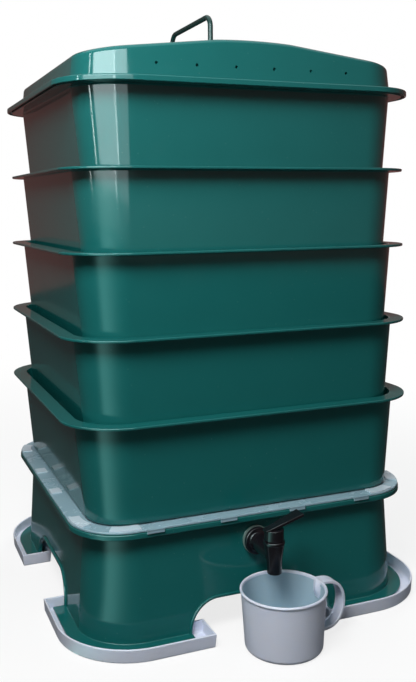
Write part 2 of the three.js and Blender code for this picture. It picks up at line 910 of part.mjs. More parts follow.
function makeLid() {
  const high = brimTop + lidCrestHeight + cutOverrun;
  const cap = loft([lidWallOutline(brimBottom, 0), lidWallOutline(high, 0)])
    .intersect(pushedThrough(roofShape(0, brimBottom - cutOverrun), -rimHalfY, rimHalfY));
  const brim = loft([
    outline(rimHalfX + brimOver, rimHalfY + brimOver, rimRadius + brimOver,
      brimBottom - brimLipDrop),
    outline(rimHalfX + brimOver, rimHalfY + brimOver, rimRadius + brimOver,
      brimTop - brimThick / 2),
    outline(rimHalfX + brimOver - brimThick / 2, rimHalfY + brimOver - brimThick / 2,
      rimRadius + brimOver - brimThick / 2, brimTop),
  ]);
  const lipInset = brimOver - brimLipThick;
  const lipHollow = loft([
    outline(rimHalfX + lipInset, rimHalfY + lipInset, rimRadius + lipInset,
      brimBottom - brimLipDrop - cutOverrun),
    outline(rimHalfX + lipInset, rimHalfY + lipInset, rimRadius + lipInset, brimBottom),
  ]);
  const spigotFoot = trayHeight - lidSpigotDrop;
  const spigotHead = trayHeight + seatGap + brimThick;
  const spigotOutline = (height, inset) => trayOutline(height, trayWall + lidSpigotClear + inset)
    .map((point) => point.setZ(topRimLevel - trayHeight + height));
  const spigot = loft([spigotOutline(spigotFoot, 0), spigotOutline(spigotHead, 0)]);
  const spigotHollow = loft([
    spigotOutline(spigotFoot - cutOverrun, lidWall),
    spigotOutline(spigotHead + cutOverrun, lidWall),
  ]);
  const hollow = loft([lidWallOutline(brimTop, lidWall), lidWallOutline(high, lidWall)])
    .intersect(pushedThrough(roofShape(lidWall, brimBottom - cutOverrun), -rimHalfY, rimHalfY));
  const legs = join(...[-1, 1].map((side) => post(
    handleRodRadius + seatGap,
    brimTop,
    high,
    handleX,
    side * handleHalfLength,
  )));
  const shape = brim.subtract(lipHollow).add(join(cap, spigot))
    .subtract(join(hollow, spigotHollow))
    .subtract(join(legs, vents(brimTop + ventHeight)));
  return mesh('lid', shape, greenPlastic);
}

// A round rod bent to a low arch along the lid's depth, with both ends through the roof.
function makeLidHandle() {
  const top = brimTop + lidCrestHeight + handleRise;
  const foot = brimTop + lidCrestHeight - lidWall - clipThick - handleBelow;
  const half = handleHalfLength;
  const at = (y, z) => new THREE.Vector3(handleX, y, z);
  const path = new THREE.CurvePath();
  path.add(new THREE.LineCurve3(at(-half, foot), at(-half, top - handleBend)));
  path.add(new THREE.QuadraticBezierCurve3(
    at(-half, top - handleBend), at(-half, top), at(-half + handleBend, top)));
  path.add(new THREE.LineCurve3(at(-half + handleBend, top), at(half - handleBend, top)));
  path.add(new THREE.QuadraticBezierCurve3(
    at(half - handleBend, top), at(half, top), at(half, top - handleBend)));
  path.add(new THREE.LineCurve3(at(half, top - handleBend), at(half, foot)));
  const section = new THREE.Shape();
  for (let side = 0; side < handleSides; side += 1) {
    const turn = side / handleSides * Math.PI * 2;
    const [x, y] = [handleRodRadius * Math.cos(turn), handleRodRadius * Math.sin(turn)];
    if (side === 0) section.moveTo(x, y);
    else section.lineTo(x, y);
  }
  section.closePath();
  const geometry = new THREE.ExtrudeGeometry(section, { steps: handleSteps, extrudePath: path });
  return mesh('lid_handle', solid(geometry), coatedWire);
}

// A push-on clip under the roof that holds one leg of the handle.
function makeHandleClip(name, side) {
  const y = side * handleHalfLength;
  const edgeShare = (Math.abs(handleX) + clipRadius) / lidCrestHalf;
  const roof = lidShoulderHeight + lidCrownRise * (1 - edgeShare * edgeShare);
  const top = brimTop + roof - lidWall - seatGap;
  const clip = post(clipRadius, top - clipThick, top, handleX, y)
    .subtract(post(handleRodRadius + seatGap, top - clipThick - cutOverrun, top + cutOverrun,
      handleX, y, handleRodRadius + seatGap, smallSides));
  return mesh(name, clip, springSteel);
}

const wormery = new THREE.Group();
wormery.position.y = middleY;
wormery.add(
  makeLid(),
  makeLidHandle(),
  makeHandleClip('lid_handle_clip_front', -1),
  makeHandleClip('lid_handle_clip_back', 1),
  ...makeTrays(),
  makeCollector(),
  makeStand(),
  makeMoat('ant_moat_front_left', -1, -1, frontMoatShift),
  makeMoat('ant_moat_front_right', 1, -1, frontMoatShift),
  makeMoat('ant_moat_back_left', -1, 1, -backMoatShift),
  makeMoat('ant_moat_back_right', 1, 1, -backMoatShift),
  makeTapBody(),
  makeWasher('tap_washer_outer', washerFront, washerThick, washerRubber),
  makeWasher('tap_washer_inner', collectorBossBack - seatGap, innerWasherThick, washerRubber),
  makeBackNut(),
  makeTapPlug(),
  makeTapRing(),
  makeTapLever(),
  makeCup(),
);

export default wormery;
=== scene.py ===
# %% [markdown]
# # A stacking wormery
# Five nested trays stand on a milky white collector tray, over an arched stand with a drain
# tap. The feet of the stand are in four white ant moats, and a cup waits under the spout.
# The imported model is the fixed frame: it says where each piece is, and this script gives
# each visible piece smooth surfaces and a finish.

import bmesh
import bpy
import numpy as np
from mathutils import Matrix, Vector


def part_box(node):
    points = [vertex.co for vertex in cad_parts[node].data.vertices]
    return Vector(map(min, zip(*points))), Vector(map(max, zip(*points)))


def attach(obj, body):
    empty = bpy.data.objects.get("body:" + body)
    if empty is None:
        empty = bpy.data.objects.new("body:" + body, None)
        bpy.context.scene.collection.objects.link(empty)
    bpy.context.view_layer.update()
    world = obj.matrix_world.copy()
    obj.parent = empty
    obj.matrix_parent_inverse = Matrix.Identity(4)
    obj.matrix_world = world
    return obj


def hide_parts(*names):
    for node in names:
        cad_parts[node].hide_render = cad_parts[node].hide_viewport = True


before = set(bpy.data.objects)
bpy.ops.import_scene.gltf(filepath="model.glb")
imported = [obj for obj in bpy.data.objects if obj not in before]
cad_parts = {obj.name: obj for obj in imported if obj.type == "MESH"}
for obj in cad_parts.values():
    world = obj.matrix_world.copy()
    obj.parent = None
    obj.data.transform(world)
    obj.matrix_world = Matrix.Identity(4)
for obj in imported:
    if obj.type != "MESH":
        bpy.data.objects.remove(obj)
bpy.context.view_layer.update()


def box_of(node):
    """The low and the high corner of a CAD node's box, as two arrays."""
    return [np.array(corner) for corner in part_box(node)]


# %% [markdown]
# ## The camera
# The photograph was taken from a little above half the object's height, with the lens level
# and turned to the right. A camera could be set by eye, but then the pieces would line up
# only roughly, so its place comes from lining up the rims of the trays. The picture was
# cropped off its middle afterwards, so the lens is shifted and not tilted.

# %% Camera
IMAGE_WIDTH, IMAGE_HEIGHT = 416, 682
FOCAL_PIXELS = 846.5
AXIS_PIXEL_X, AXIS_PIXEL_Y = 196.7, 204.8
SENSOR = 36.0
EYE = (-0.4043, -0.9768, 0.4545)
YAW = 0.381
ROLL = -0.009

lens = bpy.data.cameras.new("camera")
lens.sensor_width = SENSOR
lens.lens = FOCAL_PIXELS / IMAGE_HEIGHT * SENSOR
lens.shift_x = (IMAGE_WIDTH / 2 - AXIS_PIXEL_X) / IMAGE_HEIGHT
lens.shift_y = (AXIS_PIXEL_Y - IMAGE_HEIGHT / 2) / IMAGE_HEIGHT
camera = bpy.data.objects.new("camera", lens)
bpy.context.scene.collection.objects.link(camera)
bpy.context.scene.camera = camera

level_right = np.array([np.cos(YAW), -np.sin(YAW), 0])
forward = np.array([np.sin(YAW), np.cos(YAW), 0])
upright = np.array([0, 0, 1])
right = level_right * np.cos(ROLL) + upright * np.sin(ROLL)
up = upright * np.cos(ROLL) - level_right * np.sin(ROLL)
turn = np.column_stack([right, up, -forward])
camera.matrix_world = Matrix.Translation(EYE) @ Matrix(turn.tolist()).to_4x4()
print(f"lens {lens.lens:.1f} mm")

# %% [markdown]
# ## From numbers to a mesh
# Every new piece is a surface worked out as a grid of points: rows along one direction,
# columns along the other, and a face between each four neighbours. It could be modelled by
# hand from cubes and loop cuts, but here each size stays a number that can be changed.
# Several grids join into one mesh, where points that meet are welded into a closed skin.

# %% Grids
def grid(points, wrap=False):
    """A grid of points, rows by columns, with a face between each two rows and two columns.

    The face at row i and column j joins points (i, j), (i, j+1), (i+1, j+1) and (i+1, j).
    With wrap, the last column is joined to the first.
    """
    rows, columns = points.shape[:2]
    here = np.arange(columns if wrap else columns - 1)
    start = np.arange(rows - 1)[:, None] * columns
    a, b = start + here, start + (here + 1) % columns
    faces = np.stack([a, b, b + columns, a + columns], axis=-1)
    return points.reshape(-1, 3), faces.reshape(-1, 4)


def capped(points):
    """A grid that wraps round a closed section, with both ends drawn together to a middle.

    The middle of an end is the mean of its row, so a flat end stays flat.
    """
    first = np.repeat(points[:1].mean(axis=1, keepdims=True), points.shape[1], axis=1)
    last = np.repeat(points[-1:].mean(axis=1, keepdims=True), points.shape[1], axis=1)
    return grid(np.concatenate([first, points, last]), wrap=True)


def unit(vectors):
    """Vectors over their own length."""
    return vectors / np.linalg.norm(vectors, axis=-1, keepdims=True)


def spread(ends, steps):
    """Even steps between two ends."""
    return np.linspace(*ends, steps + 1)


# %% [markdown]
# ## From a mesh to a piece
# A piece also needs clean normals, a finish and the body that it moves with, and the CAD
# nodes that it stands for are hidden. Welding and shading could be done in Edit Mode, and
# here a bmesh does the same. Holes that would be awkward in a grid are cut with Boolean
# modifiers instead.

# %% Pieces
WELD = 2e-5
SHARP = np.radians(38)


def finish_mesh(mesh):
    """Welds points that meet, turns all faces outwards and smooths all but sharp edges."""
    work = bmesh.new()
    work.from_mesh(mesh)
    bmesh.ops.remove_doubles(work, verts=work.verts, dist=WELD)
    bmesh.ops.dissolve_degenerate(work, edges=work.edges, dist=WELD)
    bmesh.ops.recalc_face_normals(work, faces=work.faces)
    work.to_mesh(mesh)
    work.free()
    mesh.shade_smooth()
    mesh.set_sharp_from_angle(angle=SHARP)


def new_object(name, surfaces):
    """One mesh object from a list of (points, faces) grids."""
    starts = np.cumsum([0] + [len(points) for points, _ in surfaces[:-1]])
    points = np.concatenate([points for points, _ in surfaces])
    faces = np.concatenate([faces + start for (_, faces), start in zip(surfaces, starts)])
    mesh = bpy.data.meshes.new(name)
    mesh.from_pydata(points.tolist(), [], faces.tolist())
    finish_mesh(mesh)
    thing = bpy.data.objects.new(name, mesh)
    bpy.context.scene.collection.objects.link(thing)
    return thing


def dress(thing, body, slot, material, *nodes):
    """Gives a piece its finish and the body it rides on, and hides the CAD nodes it stands
    for.

    The shading at a corner point follows the larger faces, so long flat walls look flat.
    """
    thing.modifiers.new("flat_walls", "WEIGHTED_NORMAL").keep_sharp = True
    thing.data.materials.clear()
    thing.data.materials.append(material)
    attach(thing, body)
    if nodes:
        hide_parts(*nodes)
    print(f"{thing.name}: {len(thing.data.polygons)} faces")


def cut(thing, *cutters):
    """Cuts solids out of a piece with Boolean modifiers and removes the solids."""
    for cutter in cutters:
        modifier = thing.modifiers.new("cut", "BOOLEAN")
        modifier.operation = "DIFFERENCE"
        modifier.solver = "EXACT"
        modifier.object = cutter
    bpy.context.view_layer.update()
    evaluated = thing.evaluated_get(bpy.context.evaluated_depsgraph_get())
    mesh = bpy.data.meshes.new_from_object(evaluated)
    thing.modifiers.clear()
    old, thing.data = thing.data, mesh
    bpy.data.meshes.remove(old)
    finish_mesh(mesh)
    for cutter in cutters:
        bpy.data.objects.remove(cutter)


print(f"points within {WELD * 1000:.2f} mm are welded")

# %% [markdown]
# ## Rounded rectangles
# Seen from above, almost every moulding here is a rounded rectangle that grows or shrinks
# with height. It could be a bevelled cube, but then only one radius could be set. So one
# function gives the front and back edge of each ring, and a cross-section says how far each
# ring stands out and how high it is. The grid runs round the ring and up the section, and
# patches of straight lines between the two edges close the bottom and the inside.

# %% Rings
ARC_STEPS = 20
BEND_STEPS = 5
tray_low, tray_high = box_of("tray_1")
STACK_Y = (tray_low[1] + tray_high[1]) / 2
RUN, ACROSS = spread((-1, 1), 8), spread((0, 1), 8)


def rounded_edges(half_x, half_y, radius, level, run):
    """Front and back edge of a rounded rectangle about the middle of the stack.

    Round the front-left corner, x = -(half_x - radius) + radius cos t and
    y = -(half_y - radius) + radius sin t, with t from half a turn to three quarters. Along
    the front, x = run (half_x - radius) and y = -half_y. The right corner mirrors the left
    one and the back edge mirrors the front one. Each size has one value for each ring.
    """
    sizes = np.broadcast_arrays(half_x, half_y, radius, level)
    half_x, half_y, radius, level = (np.reshape(size, (-1, 1)) for size in sizes)
    t = np.linspace(np.pi, 1.5 * np.pi, ARC_STEPS + 1)
    corner_x = radius * np.cos(t) - (half_x - radius)
    corner_y = radius * np.sin(t) - (half_y - radius)
    front_x = (half_x - radius) * run[1:-1]
    x = np.concatenate([corner_x, front_x, -corner_x[:, ::-1]], axis=1)
    y = np.concatenate([corner_y, 0 * front_x - half_y, corner_y[:, ::-1]], axis=1)
    z = level + 0 * x
    return np.stack([x, STACK_Y + y, z], axis=-1), np.stack([x, STACK_Y - y, z], axis=-1)


def closed_rings(front, back, across):
    """Closed rings: the front edge, the right side, the back edge reversed, the left side.

    A point of a side is front + v (back - front), with v from across.
    """
    v = across[1:-1, None]
    right_side = front[:, -1:] + v * (back[:, -1:] - front[:, -1:])
    left_side = front[:, :1] + v[::-1] * (back[:, :1] - front[:, :1])
    return np.concatenate([front, right_side, back[:, ::-1], left_side], axis=1)


def patch(front, back, across):
    """A sheet between two edges: each point is front + v (back - front)."""
    return front + across[:, None, None] * (back - front)


def hull(front, back, across=ACROSS):
    """The rings between two edges, with a sheet over the first and over the last ring."""
    return [
        grid(closed_rings(front, back, across), wrap=True),
        grid(patch(front[0], back[0], across)),
        grid(patch(front[-1], back[-1], across)),
    ]


print(f"the stack's middle is at y = {STACK_Y * 1000:.1f} mm")

# %% Cross-sections
def bend(grow, level, radius, start, stop, steps=BEND_STEPS):
    """A round bend in a cross-section: grow + radius cos t, level + radius sin t.

    start and stop are in quarter turns, and each row of the result is one (grow, level).
    """
    t = np.linspace(start, stop, steps + 1) * np.pi / 2
    return np.column_stack([grow + radius * np.cos(t), level + radius * np.sin(t)])


def ring_sizes(base, section):
    """Half sizes, corner radius and level of each ring: base + grow, and the level.

    base is the three sizes, or a function that gives them for each level.
    """
    grow, level = section.T
    sizes = base(level) if callable(base) else base
    return np.column_stack([sizes + grow[:, None], level])


print(f"{BEND_STEPS} faces to a bend, {ARC_STEPS} round a corner")

# %% [markdown]
# ## Shared unevenness
# Moulded plastic is never one flat colour. It is faintly cloudy where the melt flowed, its
# flat walls are a little wavy, fine handling marks dull the gloss here and there, and dust
# specks lie on it. Pictures of plastic could be wrapped round the pieces, but noise needs
# no seams and stays sharp up close. All the plastics and rubbers use one node group for it,
# each with its own amounts. Heights are in millimetres.

# %% Nodes
MILLIMETRE = 0.001


def feed(socket, value):
    """Links another node's output to a socket, or sets the socket to a plain value."""
    if isinstance(value, bpy.types.NodeSocket):
        socket.id_data.links.new(value, socket)
    else:
        socket.default_value = value


def add_node(tree, kind, **values):
    """A new node, with its attributes set and its inputs fed by name."""
    node = tree.nodes.new(kind)
    for name, value in values.items():
        socket = node.inputs.get(name.replace("_", " "))
        if socket:
            feed(socket, value)
        else:
            setattr(node, name, value)
    return node


def maths(tree, operation, *values):
    """The output of a Math node that is fed in the order of its inputs."""
    node = add_node(tree, "ShaderNodeMath", operation=operation)
    for socket, value in zip(node.inputs, values):
        feed(socket, value)
    return node.outputs["Value"]


def blend(tree, share, first, second):
    """A colour between two colours: the first one at a share of 0, the second one at 1."""
    node = add_node(tree, "ShaderNodeMix", data_type="RGBA", Factor=share, A=first,
                    B=second)
    return node.outputs["Result"]


def range_map(tree, value, **values):
    """The output of a Map Range node."""
    return add_node(tree, "ShaderNodeMapRange", Value=value, **values).outputs["Result"]


# %% Node group
def moulded_group():
    """Colour, roughness and height of a moulded surface from noise on Object coordinates.

    A noise mixes the colour with the cloud colour. Dust is mixed in near the middles of
    Voronoi cells. Roughness = roughness + smudge x noise over a threshold. Height = wave
    noise x wave height + grain noise x grain height.
    """
    tree = bpy.data.node_groups.new("moulded_surface", "ShaderNodeTree")
    sockets = (
        ("INPUT", "NodeSocketColor", ("Colour", "Cloud Colour", "Dust Colour")),
        ("INPUT", "NodeSocketFloat", ("Roughness", "Smudge", "Dust", "Wave Scale",
                                      "Wave Height", "Grain Scale", "Grain Height")),
        ("OUTPUT", "NodeSocketColor", ("Colour",)),
        ("OUTPUT", "NodeSocketFloat", ("Roughness", "Height")),
    )
    for way, kind, names in sockets:
        for name in names:
            tree.interface.new_socket(name=name, in_out=way, socket_type=kind)
    given = tree.nodes.new("NodeGroupInput").outputs
    place = tree.nodes.new("ShaderNodeTexCoord").outputs["Object"]

    def noise(**values):
        return add_node(tree, "ShaderNodeTexNoise", Vector=place, **values).outputs["Fac"]

    wave = noise(Scale=given["Wave Scale"], Detail=2.0, Roughness=0.45)
    grain = noise(Scale=given["Grain Scale"], Detail=3.0, Roughness=0.6)
    cloud = noise(Scale=21.0, Detail=5.0, Roughness=0.6)
    marks = noise(Scale=34.0, Detail=7.0, Roughness=0.72)
    cells = add_node(tree, "ShaderNodeTexVoronoi", Vector=place, Scale=95.0, Randomness=1.0)
    specks = range_map(tree, cells.outputs["Distance"], From_Min=0.075, From_Max=0.03)
    dulled = range_map(tree, marks, From_Min=0.52, From_Max=0.7)
    cloudy = blend(tree, cloud, given["Colour"], given["Cloud Colour"])
    dust = maths(tree, "MULTIPLY", specks, given["Dust"])
    fine = maths(tree, "MULTIPLY", grain, given["Grain Height"])
    add_node(
        tree, "NodeGroupOutput",
        Colour=blend(tree, dust, cloudy, given["Dust Colour"]),
        Roughness=maths(tree, "MULTIPLY_ADD", dulled, given["Smudge"], given["Roughness"]),
        Height=maths(tree, "MULTIPLY_ADD", wave, given["Wave Height"], fine),
    )
    return tree


moulded = moulded_group()
print(f"{moulded.name}: {len(moulded.nodes)} nodes")

# %% Plastics
def linear(red, green, blue):
    """A screen colour from 0 to 255 as the linear colour that shaders use."""
    screen = np.array([red, green, blue]) / 255
    light = np.where(screen <= 0.04045, screen / 12.92, ((screen + 0.055) / 1.055) ** 2.4)
    return (*light.tolist(), 1.0)


def plastic(name, colours, roughness, smudge, dust, wave, grain, **shader):
    """A material whose colour, gloss and waviness come from the moulded group.

    colours are the plain, the cloudy and the dust colour. wave and grain are a scale and a
    height each, and shader has the Principled shader's own values.
    """
    material = bpy.data.materials.new(name)
    material.use_nodes = True
    tree = material.node_tree
    group = add_node(tree, "ShaderNodeGroup", node_tree=moulded)
    amounts = [*(linear(*colour) for colour in colours), roughness, smudge, dust]
    for socket, value in zip(group.inputs, [*amounts, *wave, *grain]):
        feed(socket, value)
    uneven = group.outputs
    lumps = add_node(tree, "ShaderNodeBump", Height=uneven["Height"], Strength=1.0,
                     Distance=MILLIMETRE)
    shader.update(Base_Color=uneven["Colour"], Roughness=uneven["Roughness"],
                  Normal=lumps.outputs["Normal"])
    for socket, value in shader.items():
        feed(tree.nodes["Principled BSDF"].inputs[socket.replace("_", " ")], value)
    print(f"{name}: roughness {roughness}")
    return material


# %% [markdown]
# ## Finishes
# The trays, lid and stand are a glossy dark green with slightly wavy walls. The moats, the
# cup and the collector tray are a natural, uncoloured plastic that looks milky, because
# light gets some way into it. Transmission would show that too, but it darkens the edges of
# thin walls, so a little subsurface scattering is used. What shows through the walls is
# painted into the colour instead: a greyer rim, paler pads and a darker inside of the cup,
# which holds painted shade too. The tap is glossy black, and its washers are plain rubber.

# %% Materials
MILKY = dict(grain=(600, 0.003), IOR=1.5, Subsurface_Radius=(0.9, 1.0, 1.1))

green_plastic = plastic(
    "green_plastic", ((19, 95, 93), (23, 100, 98), (96, 140, 134)),
    0.1, smudge=0.08, dust=0.35, wave=(9, 0.3), grain=(700, 0.0015), IOR=1.48)
white_plastic = plastic(
    "white_plastic", ((218, 225, 246), (226, 232, 249), (234, 237, 244)),
    0.3, smudge=0.14, dust=0.2, wave=(22, 0.08),
    Subsurface_Weight=0.4, Subsurface_Scale=0.003, **MILKY)
# Painted shade and painted see-through: a darker finish for the inside of the cup.
cup_inside_painted_shade = plastic(
    "cup_inside_painted_shade", ((164, 191, 206), (174, 200, 213), (206, 216, 222)),
    0.35, smudge=0.14, dust=0.2, wave=(22, 0.08),
    Subsurface_Weight=0.3, Subsurface_Scale=0.002, **MILKY)
# Painted see-through: the rim is greyer where the green lip under it would show through.
rim_plastic = plastic(
    "rim_plastic", ((140, 171, 184), (150, 180, 192), (168, 190, 200)),
    0.25, smudge=0.14, dust=0.05, wave=(22, 0.08),
    Subsurface_Weight=0.2, Subsurface_Scale=0.002, **MILKY)
pad_plastic = plastic(
    "pad_plastic", ((192, 211, 222), (202, 219, 229), (220, 228, 234)),
    0.22, smudge=0.1, dust=0.1, wave=(40, 0.05),
    Subsurface_Weight=0.2, Subsurface_Scale=0.002, **MILKY)
black_plastic = plastic(
    "black_plastic", ((17, 15, 20), (23, 22, 27), (60, 60, 62)),
    0.18, smudge=0.08, dust=0.1, wave=(60, 0.01), grain=(1600, 0.0008), IOR=1.5)
washer_rubber = plastic(
    "washer_rubber", ((96, 118, 112), (108, 130, 124), (150, 156, 152)),
    0.6, smudge=0.12, dust=0.3, wave=(90, 0.04), grain=(1800, 0.02), IOR=1.48)
seal_rubber = plastic(
    "seal_rubber", ((20, 20, 21), (28, 28, 29), (70, 70, 70)),
    0.55, smudge=0.1, dust=0.2, wave=(90, 0.02), grain=(1800, 0.02), IOR=1.48)
coated_wire = plastic(
    "coated_wire", ((15, 50, 48), (26, 64, 60), (80, 96, 88)),
    0.2, smudge=0.2, dust=0.5, wave=(140, 0.05), grain=(1500, 0.01), IOR=1.5)
clip_steel = plastic(
    "clip_steel", ((150, 151, 153), (168, 169, 171), (120, 116, 110)),
    0.32, smudge=0.18, dust=0.3, wave=(90, 0.02), grain=(1500, 0.006), Metallic=1.0)

# %% [markdown]
# ## Trays
# A tray is a tub that narrows towards its floor, with a thin flat rim round the top that
# the tray above hides. The floor has square holes for the worms and the liquid, and lugs
# inside the walls carry the tray above. The holes could be cut with Booleans, but the floor
# is flat, so it is two patches whose hole cells are left out, joined by the walls of the
# holes. The cross-section goes from the rounded bottom edge up the wall, out and round the
# rim, and down the inside.

# %% Tray sizes
TRAY_HEIGHT = tray_high[2] - tray_low[2]
TRAY_PITCH = tray_low[2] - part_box("tray_2")[0].z
RIM_WIDTH = 0.0148
RIM_THICK = 0.003
WALL = 0.0024
FLOOR = 0.0024
BODY = np.array([tray_high[0] - RIM_WIDTH, tray_high[1] - STACK_Y - RIM_WIDTH, 0.0502])
TAPER = np.array([0.012, 0.005, 0.008])
FOOT_BEND = 0.004
RIM_FILLET = 0.0016
RIM_ROUND = 0.001
FLOOR_BEND = 0.003
HOLE = 0.014
HOLE_PITCH = 0.05
HOLES = 6
LUG = np.array([0.044, 0.007, 0.016])
SEAT = 0.0003

hole_middles = (np.arange(HOLES) - (HOLES - 1) / 2) * HOLE_PITCH
hole_edges = np.sort(np.concatenate([hole_middles - HOLE / 2, hole_middles + HOLE / 2]))

print(f"trays {TRAY_HEIGHT * 1000:.1f} mm high, {TRAY_PITCH * 1000:.1f} mm apart")

# %% Tray section
def tray_base(level):
    """Half sizes and corner radius of the tray wall at a height over its underside."""
    drop = 1 - np.asarray(level)[..., None] / TRAY_HEIGHT
    return BODY - TAPER * drop


def tray_section():
    """Cross-section from the underside up the wall, round the rim, to the inside floor."""
    under_rim = TRAY_HEIGHT - RIM_THICK
    return np.concatenate([
        bend(-FOOT_BEND, FOOT_BEND, FOOT_BEND, -1, 0),
        bend(RIM_FILLET, under_rim - RIM_FILLET, RIM_FILLET, 2, 1),
        bend(RIM_WIDTH - RIM_ROUND, under_rim + RIM_ROUND, RIM_ROUND, -1, 0),
        bend(RIM_WIDTH - RIM_ROUND, TRAY_HEIGHT - RIM_ROUND, RIM_ROUND, 0, 1),
        bend(RIM_ROUND - WALL, TRAY_HEIGHT - RIM_ROUND, RIM_ROUND, 1, 2),
        bend(-WALL - FLOOR_BEND, FLOOR + FLOOR_BEND, FLOOR_BEND, 0, -1),
    ])


print(f"tray section: {len(tray_section())} rings")

# %% Drilled floor
def drilled(top, bottom, hole_rows, hole_columns):
    """A floor from its top and bottom patch, without the cells of the holes.

    A cell belongs to a hole where its row and its column both do. An edge between two cells
    gets a wall where one of them is a hole and the other isn't.
    """
    rows, columns = top.shape[:2]
    hole = np.zeros((rows + 1, columns + 1), bool)
    hole[1:-1, 1:-1] = hole_rows[:, None] & hole_columns[None, :]
    points, faces = grid(top)
    kept = faces[~hole[1:-1, 1:-1].ravel()]
    count = len(points)
    index = np.arange(count).reshape(rows, columns)
    along_i, along_j = np.nonzero(hole[1:-1, 1:] != hole[1:-1, :-1])
    across_i, across_j = np.nonzero(hole[1:, 1:-1] != hole[:-1, 1:-1])
    a = np.concatenate([index[along_i, along_j], index[across_i, across_j]])
    b = np.concatenate([index[along_i + 1, along_j], index[across_i, across_j + 1]])
    walls = np.stack([a, b, b + count, a + count], axis=-1)
    both = np.concatenate([points, bottom.reshape(-1, 3)])
    return both, np.concatenate([kept, kept[:, ::-1] + count, walls])


print(f"{HOLES**2} holes of {HOLE * 1000:.0f} mm")

# %% Rounded blocks
def four_corners(steps=3):
    """The corner that each point round a rounded rectangle belongs to, and its direction.

    A corner is (1, 1) to (1, -1), anticlockwise, and a direction is (cos t, sin t).
    """
    a = np.linspace(0, np.pi / 2, steps + 1)
    t = np.concatenate([a + quarter * np.pi / 2 for quarter in range(4)])
    corner = np.repeat([[1, 1], [-1, 1], [-1, -1], [1, -1]], steps + 1, axis=0)
    return corner, np.column_stack([np.cos(t), np.sin(t)])


def rounded_section(width, height, radius):
    """A rounded rectangle, as corner (half size - radius) + radius direction."""
    corner, way = four_corners()
    return corner * (np.array([width, height]) / 2 - radius) + radius * way


def rounded_block(middle, size, radius, steps=3):
    """A block with rounded upright edges and a rounded top and bottom edge.

    Each ring is a rounded rectangle whose corners have the radius less an inset. Near the
    ends the inset is radius (1 - cos a), at half height - radius + radius sin a.
    """
    half = np.asarray(size) / 2
    a = np.linspace(0, np.pi / 2, steps + 1)
    inset = radius * (1 - np.cos(np.concatenate([a[::-1], a])))
    rise = half[2] - radius + radius * np.sin(a)
    level = np.concatenate([-rise[::-1], rise])[:, None, None]
    corner, way = four_corners(steps)
    flat = corner * (half[:2] - radius) + (radius - inset[:, None, None]) * way
    return capped(np.concatenate([flat, level + 0 * flat[..., :1]], axis=-1) + middle)


print(f"{len(four_corners()[0])} points round a block")

# %% Trays
def lug_surfaces():
    """Lugs inside a tray, one in the middle of each wall, that carry the tray above."""
    middle = TRAY_PITCH - SEAT - LUG[2] / 2
    reach = tray_base(middle)[:2] - WALL - LUG[1] / 2 + WALL / 2
    made = []
    for out in (-reach, reach):
        made.append(rounded_block((out[0], STACK_Y, middle), LUG[[1, 0, 2]], RIM_ROUND))
        made.append(rounded_block((0, STACK_Y + out[1], middle), LUG, RIM_ROUND))
    return made


def tray_surfaces():
    """The grids of one tray, standing on the level of zero."""
    sizes = ring_sizes(tray_base, tray_section())
    straight = BODY[0] - TAPER[0] - BODY[2] + TAPER[2]
    half_y = BODY[1] - TAPER[1] - WALL - FLOOR_BEND
    run = np.concatenate([[-1], hole_edges / straight, [1]])
    across = np.concatenate([[0], (hole_edges + half_y) / half_y / 2, [1]])
    front, back = rounded_edges(*sizes.T, run)
    wall = grid(closed_rings(front, back, across), wrap=True)
    top, bottom = patch(front[-1], back[-1], across), patch(front[0], back[0], across)
    odd = np.arange(2 * HOLES + 1) % 2 == 1
    no_arc = np.zeros(ARC_STEPS, bool)
    floor = drilled(top, bottom, odd, np.concatenate([no_arc, odd, no_arc]))
    return [wall, floor, *lug_surfaces()]


TRAY_BODIES = ("top_tray", "second_tray", "middle_tray", "fourth_tray", "bottom_tray")
surfaces = tray_surfaces()
for place, body in enumerate(TRAY_BODIES, start=1):
    node = f"tray_{place}"
    lift = np.array([0, 0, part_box(node)[0].z])
    moved = [(points + lift, faces) for points, faces in surfaces]
    dress(new_object(f"{node}_shell", moved), body, "green_plastic", green_plastic, node)

# %% [markdown]
# ## Lid
# The lid has a flat brim with a short lip, upright walls, and a roof that is low at the two
# ends and rises in straight slopes to a gently crowned middle. It could be a block whose
# top points are pulled up, but the soft creases need even columns. The roof's height
# depends on x alone, so the rings near the roof take their level from one formula. A short
# skirt under the brim keeps the lid in the top tray. The vents go through the front wall.

# %% Lid sizes
_, lid_high = box_of("lid")
LIP_DROP = 0.0029
BRIM_THICK = 0.0035
BRIM_OUT = 0.0201
BRIM_UNDER = tray_high[2] + SEAT
BRIM_TOP = BRIM_UNDER + BRIM_THICK
LID_WALL = np.array([lid_high[0], lid_high[1] - STACK_Y, 0.0707]) - BRIM_OUT
LID_THICK = 0.0026
END_RISE = 0.0275
SHOULDER_RISE = 0.0454
CROWN_RISE = 0.0014
CREST_HALF = 0.045
CREASE = 0.0015
ROOF_ROUND = 0.005
WALL_FILLET = 0.002
BRIM_ROUND = 0.0014
LIP_THICK = 0.0022
SKIRT_DROP = 0.009
SKIRT_IN = 0.0042
SKIRT_TAPER = 0.001
LID_DRAFT = 0.002
VENTS = 6
VENT_PITCH = 0.0458
VENT_RADIUS = 0.0017
VENT_RISE = 0.016
VENT_SIDES = 16
LID_COLUMNS = 80

print(f"lid: walls of {LID_WALL[0] * 2000:.0f} by {LID_WALL[1] * 2000:.0f} mm")

# %% Roof
def sharp_roof(x):
    """Height over the brim: a shallow parabola in the middle, straight slopes outside."""
    away = np.abs(x) / CREST_HALF
    slope = (SHOULDER_RISE - END_RISE) / (LID_WALL[0] - CREST_HALF)
    middle = SHOULDER_RISE + CROWN_RISE * (1 - away**2)
    return np.where(away < 1, middle, SHOULDER_RISE - slope * (np.abs(x) - CREST_HALF))


def roof_level(x):
    """The roof with soft creases: the mean of the sharp roof at x and a little beside."""
    shifts = np.array([-CREASE, -CREASE / 2, 0, CREASE / 2, CREASE])
    return BRIM_TOP + np.mean([sharp_roof(x + shift) for shift in shifts], axis=0)


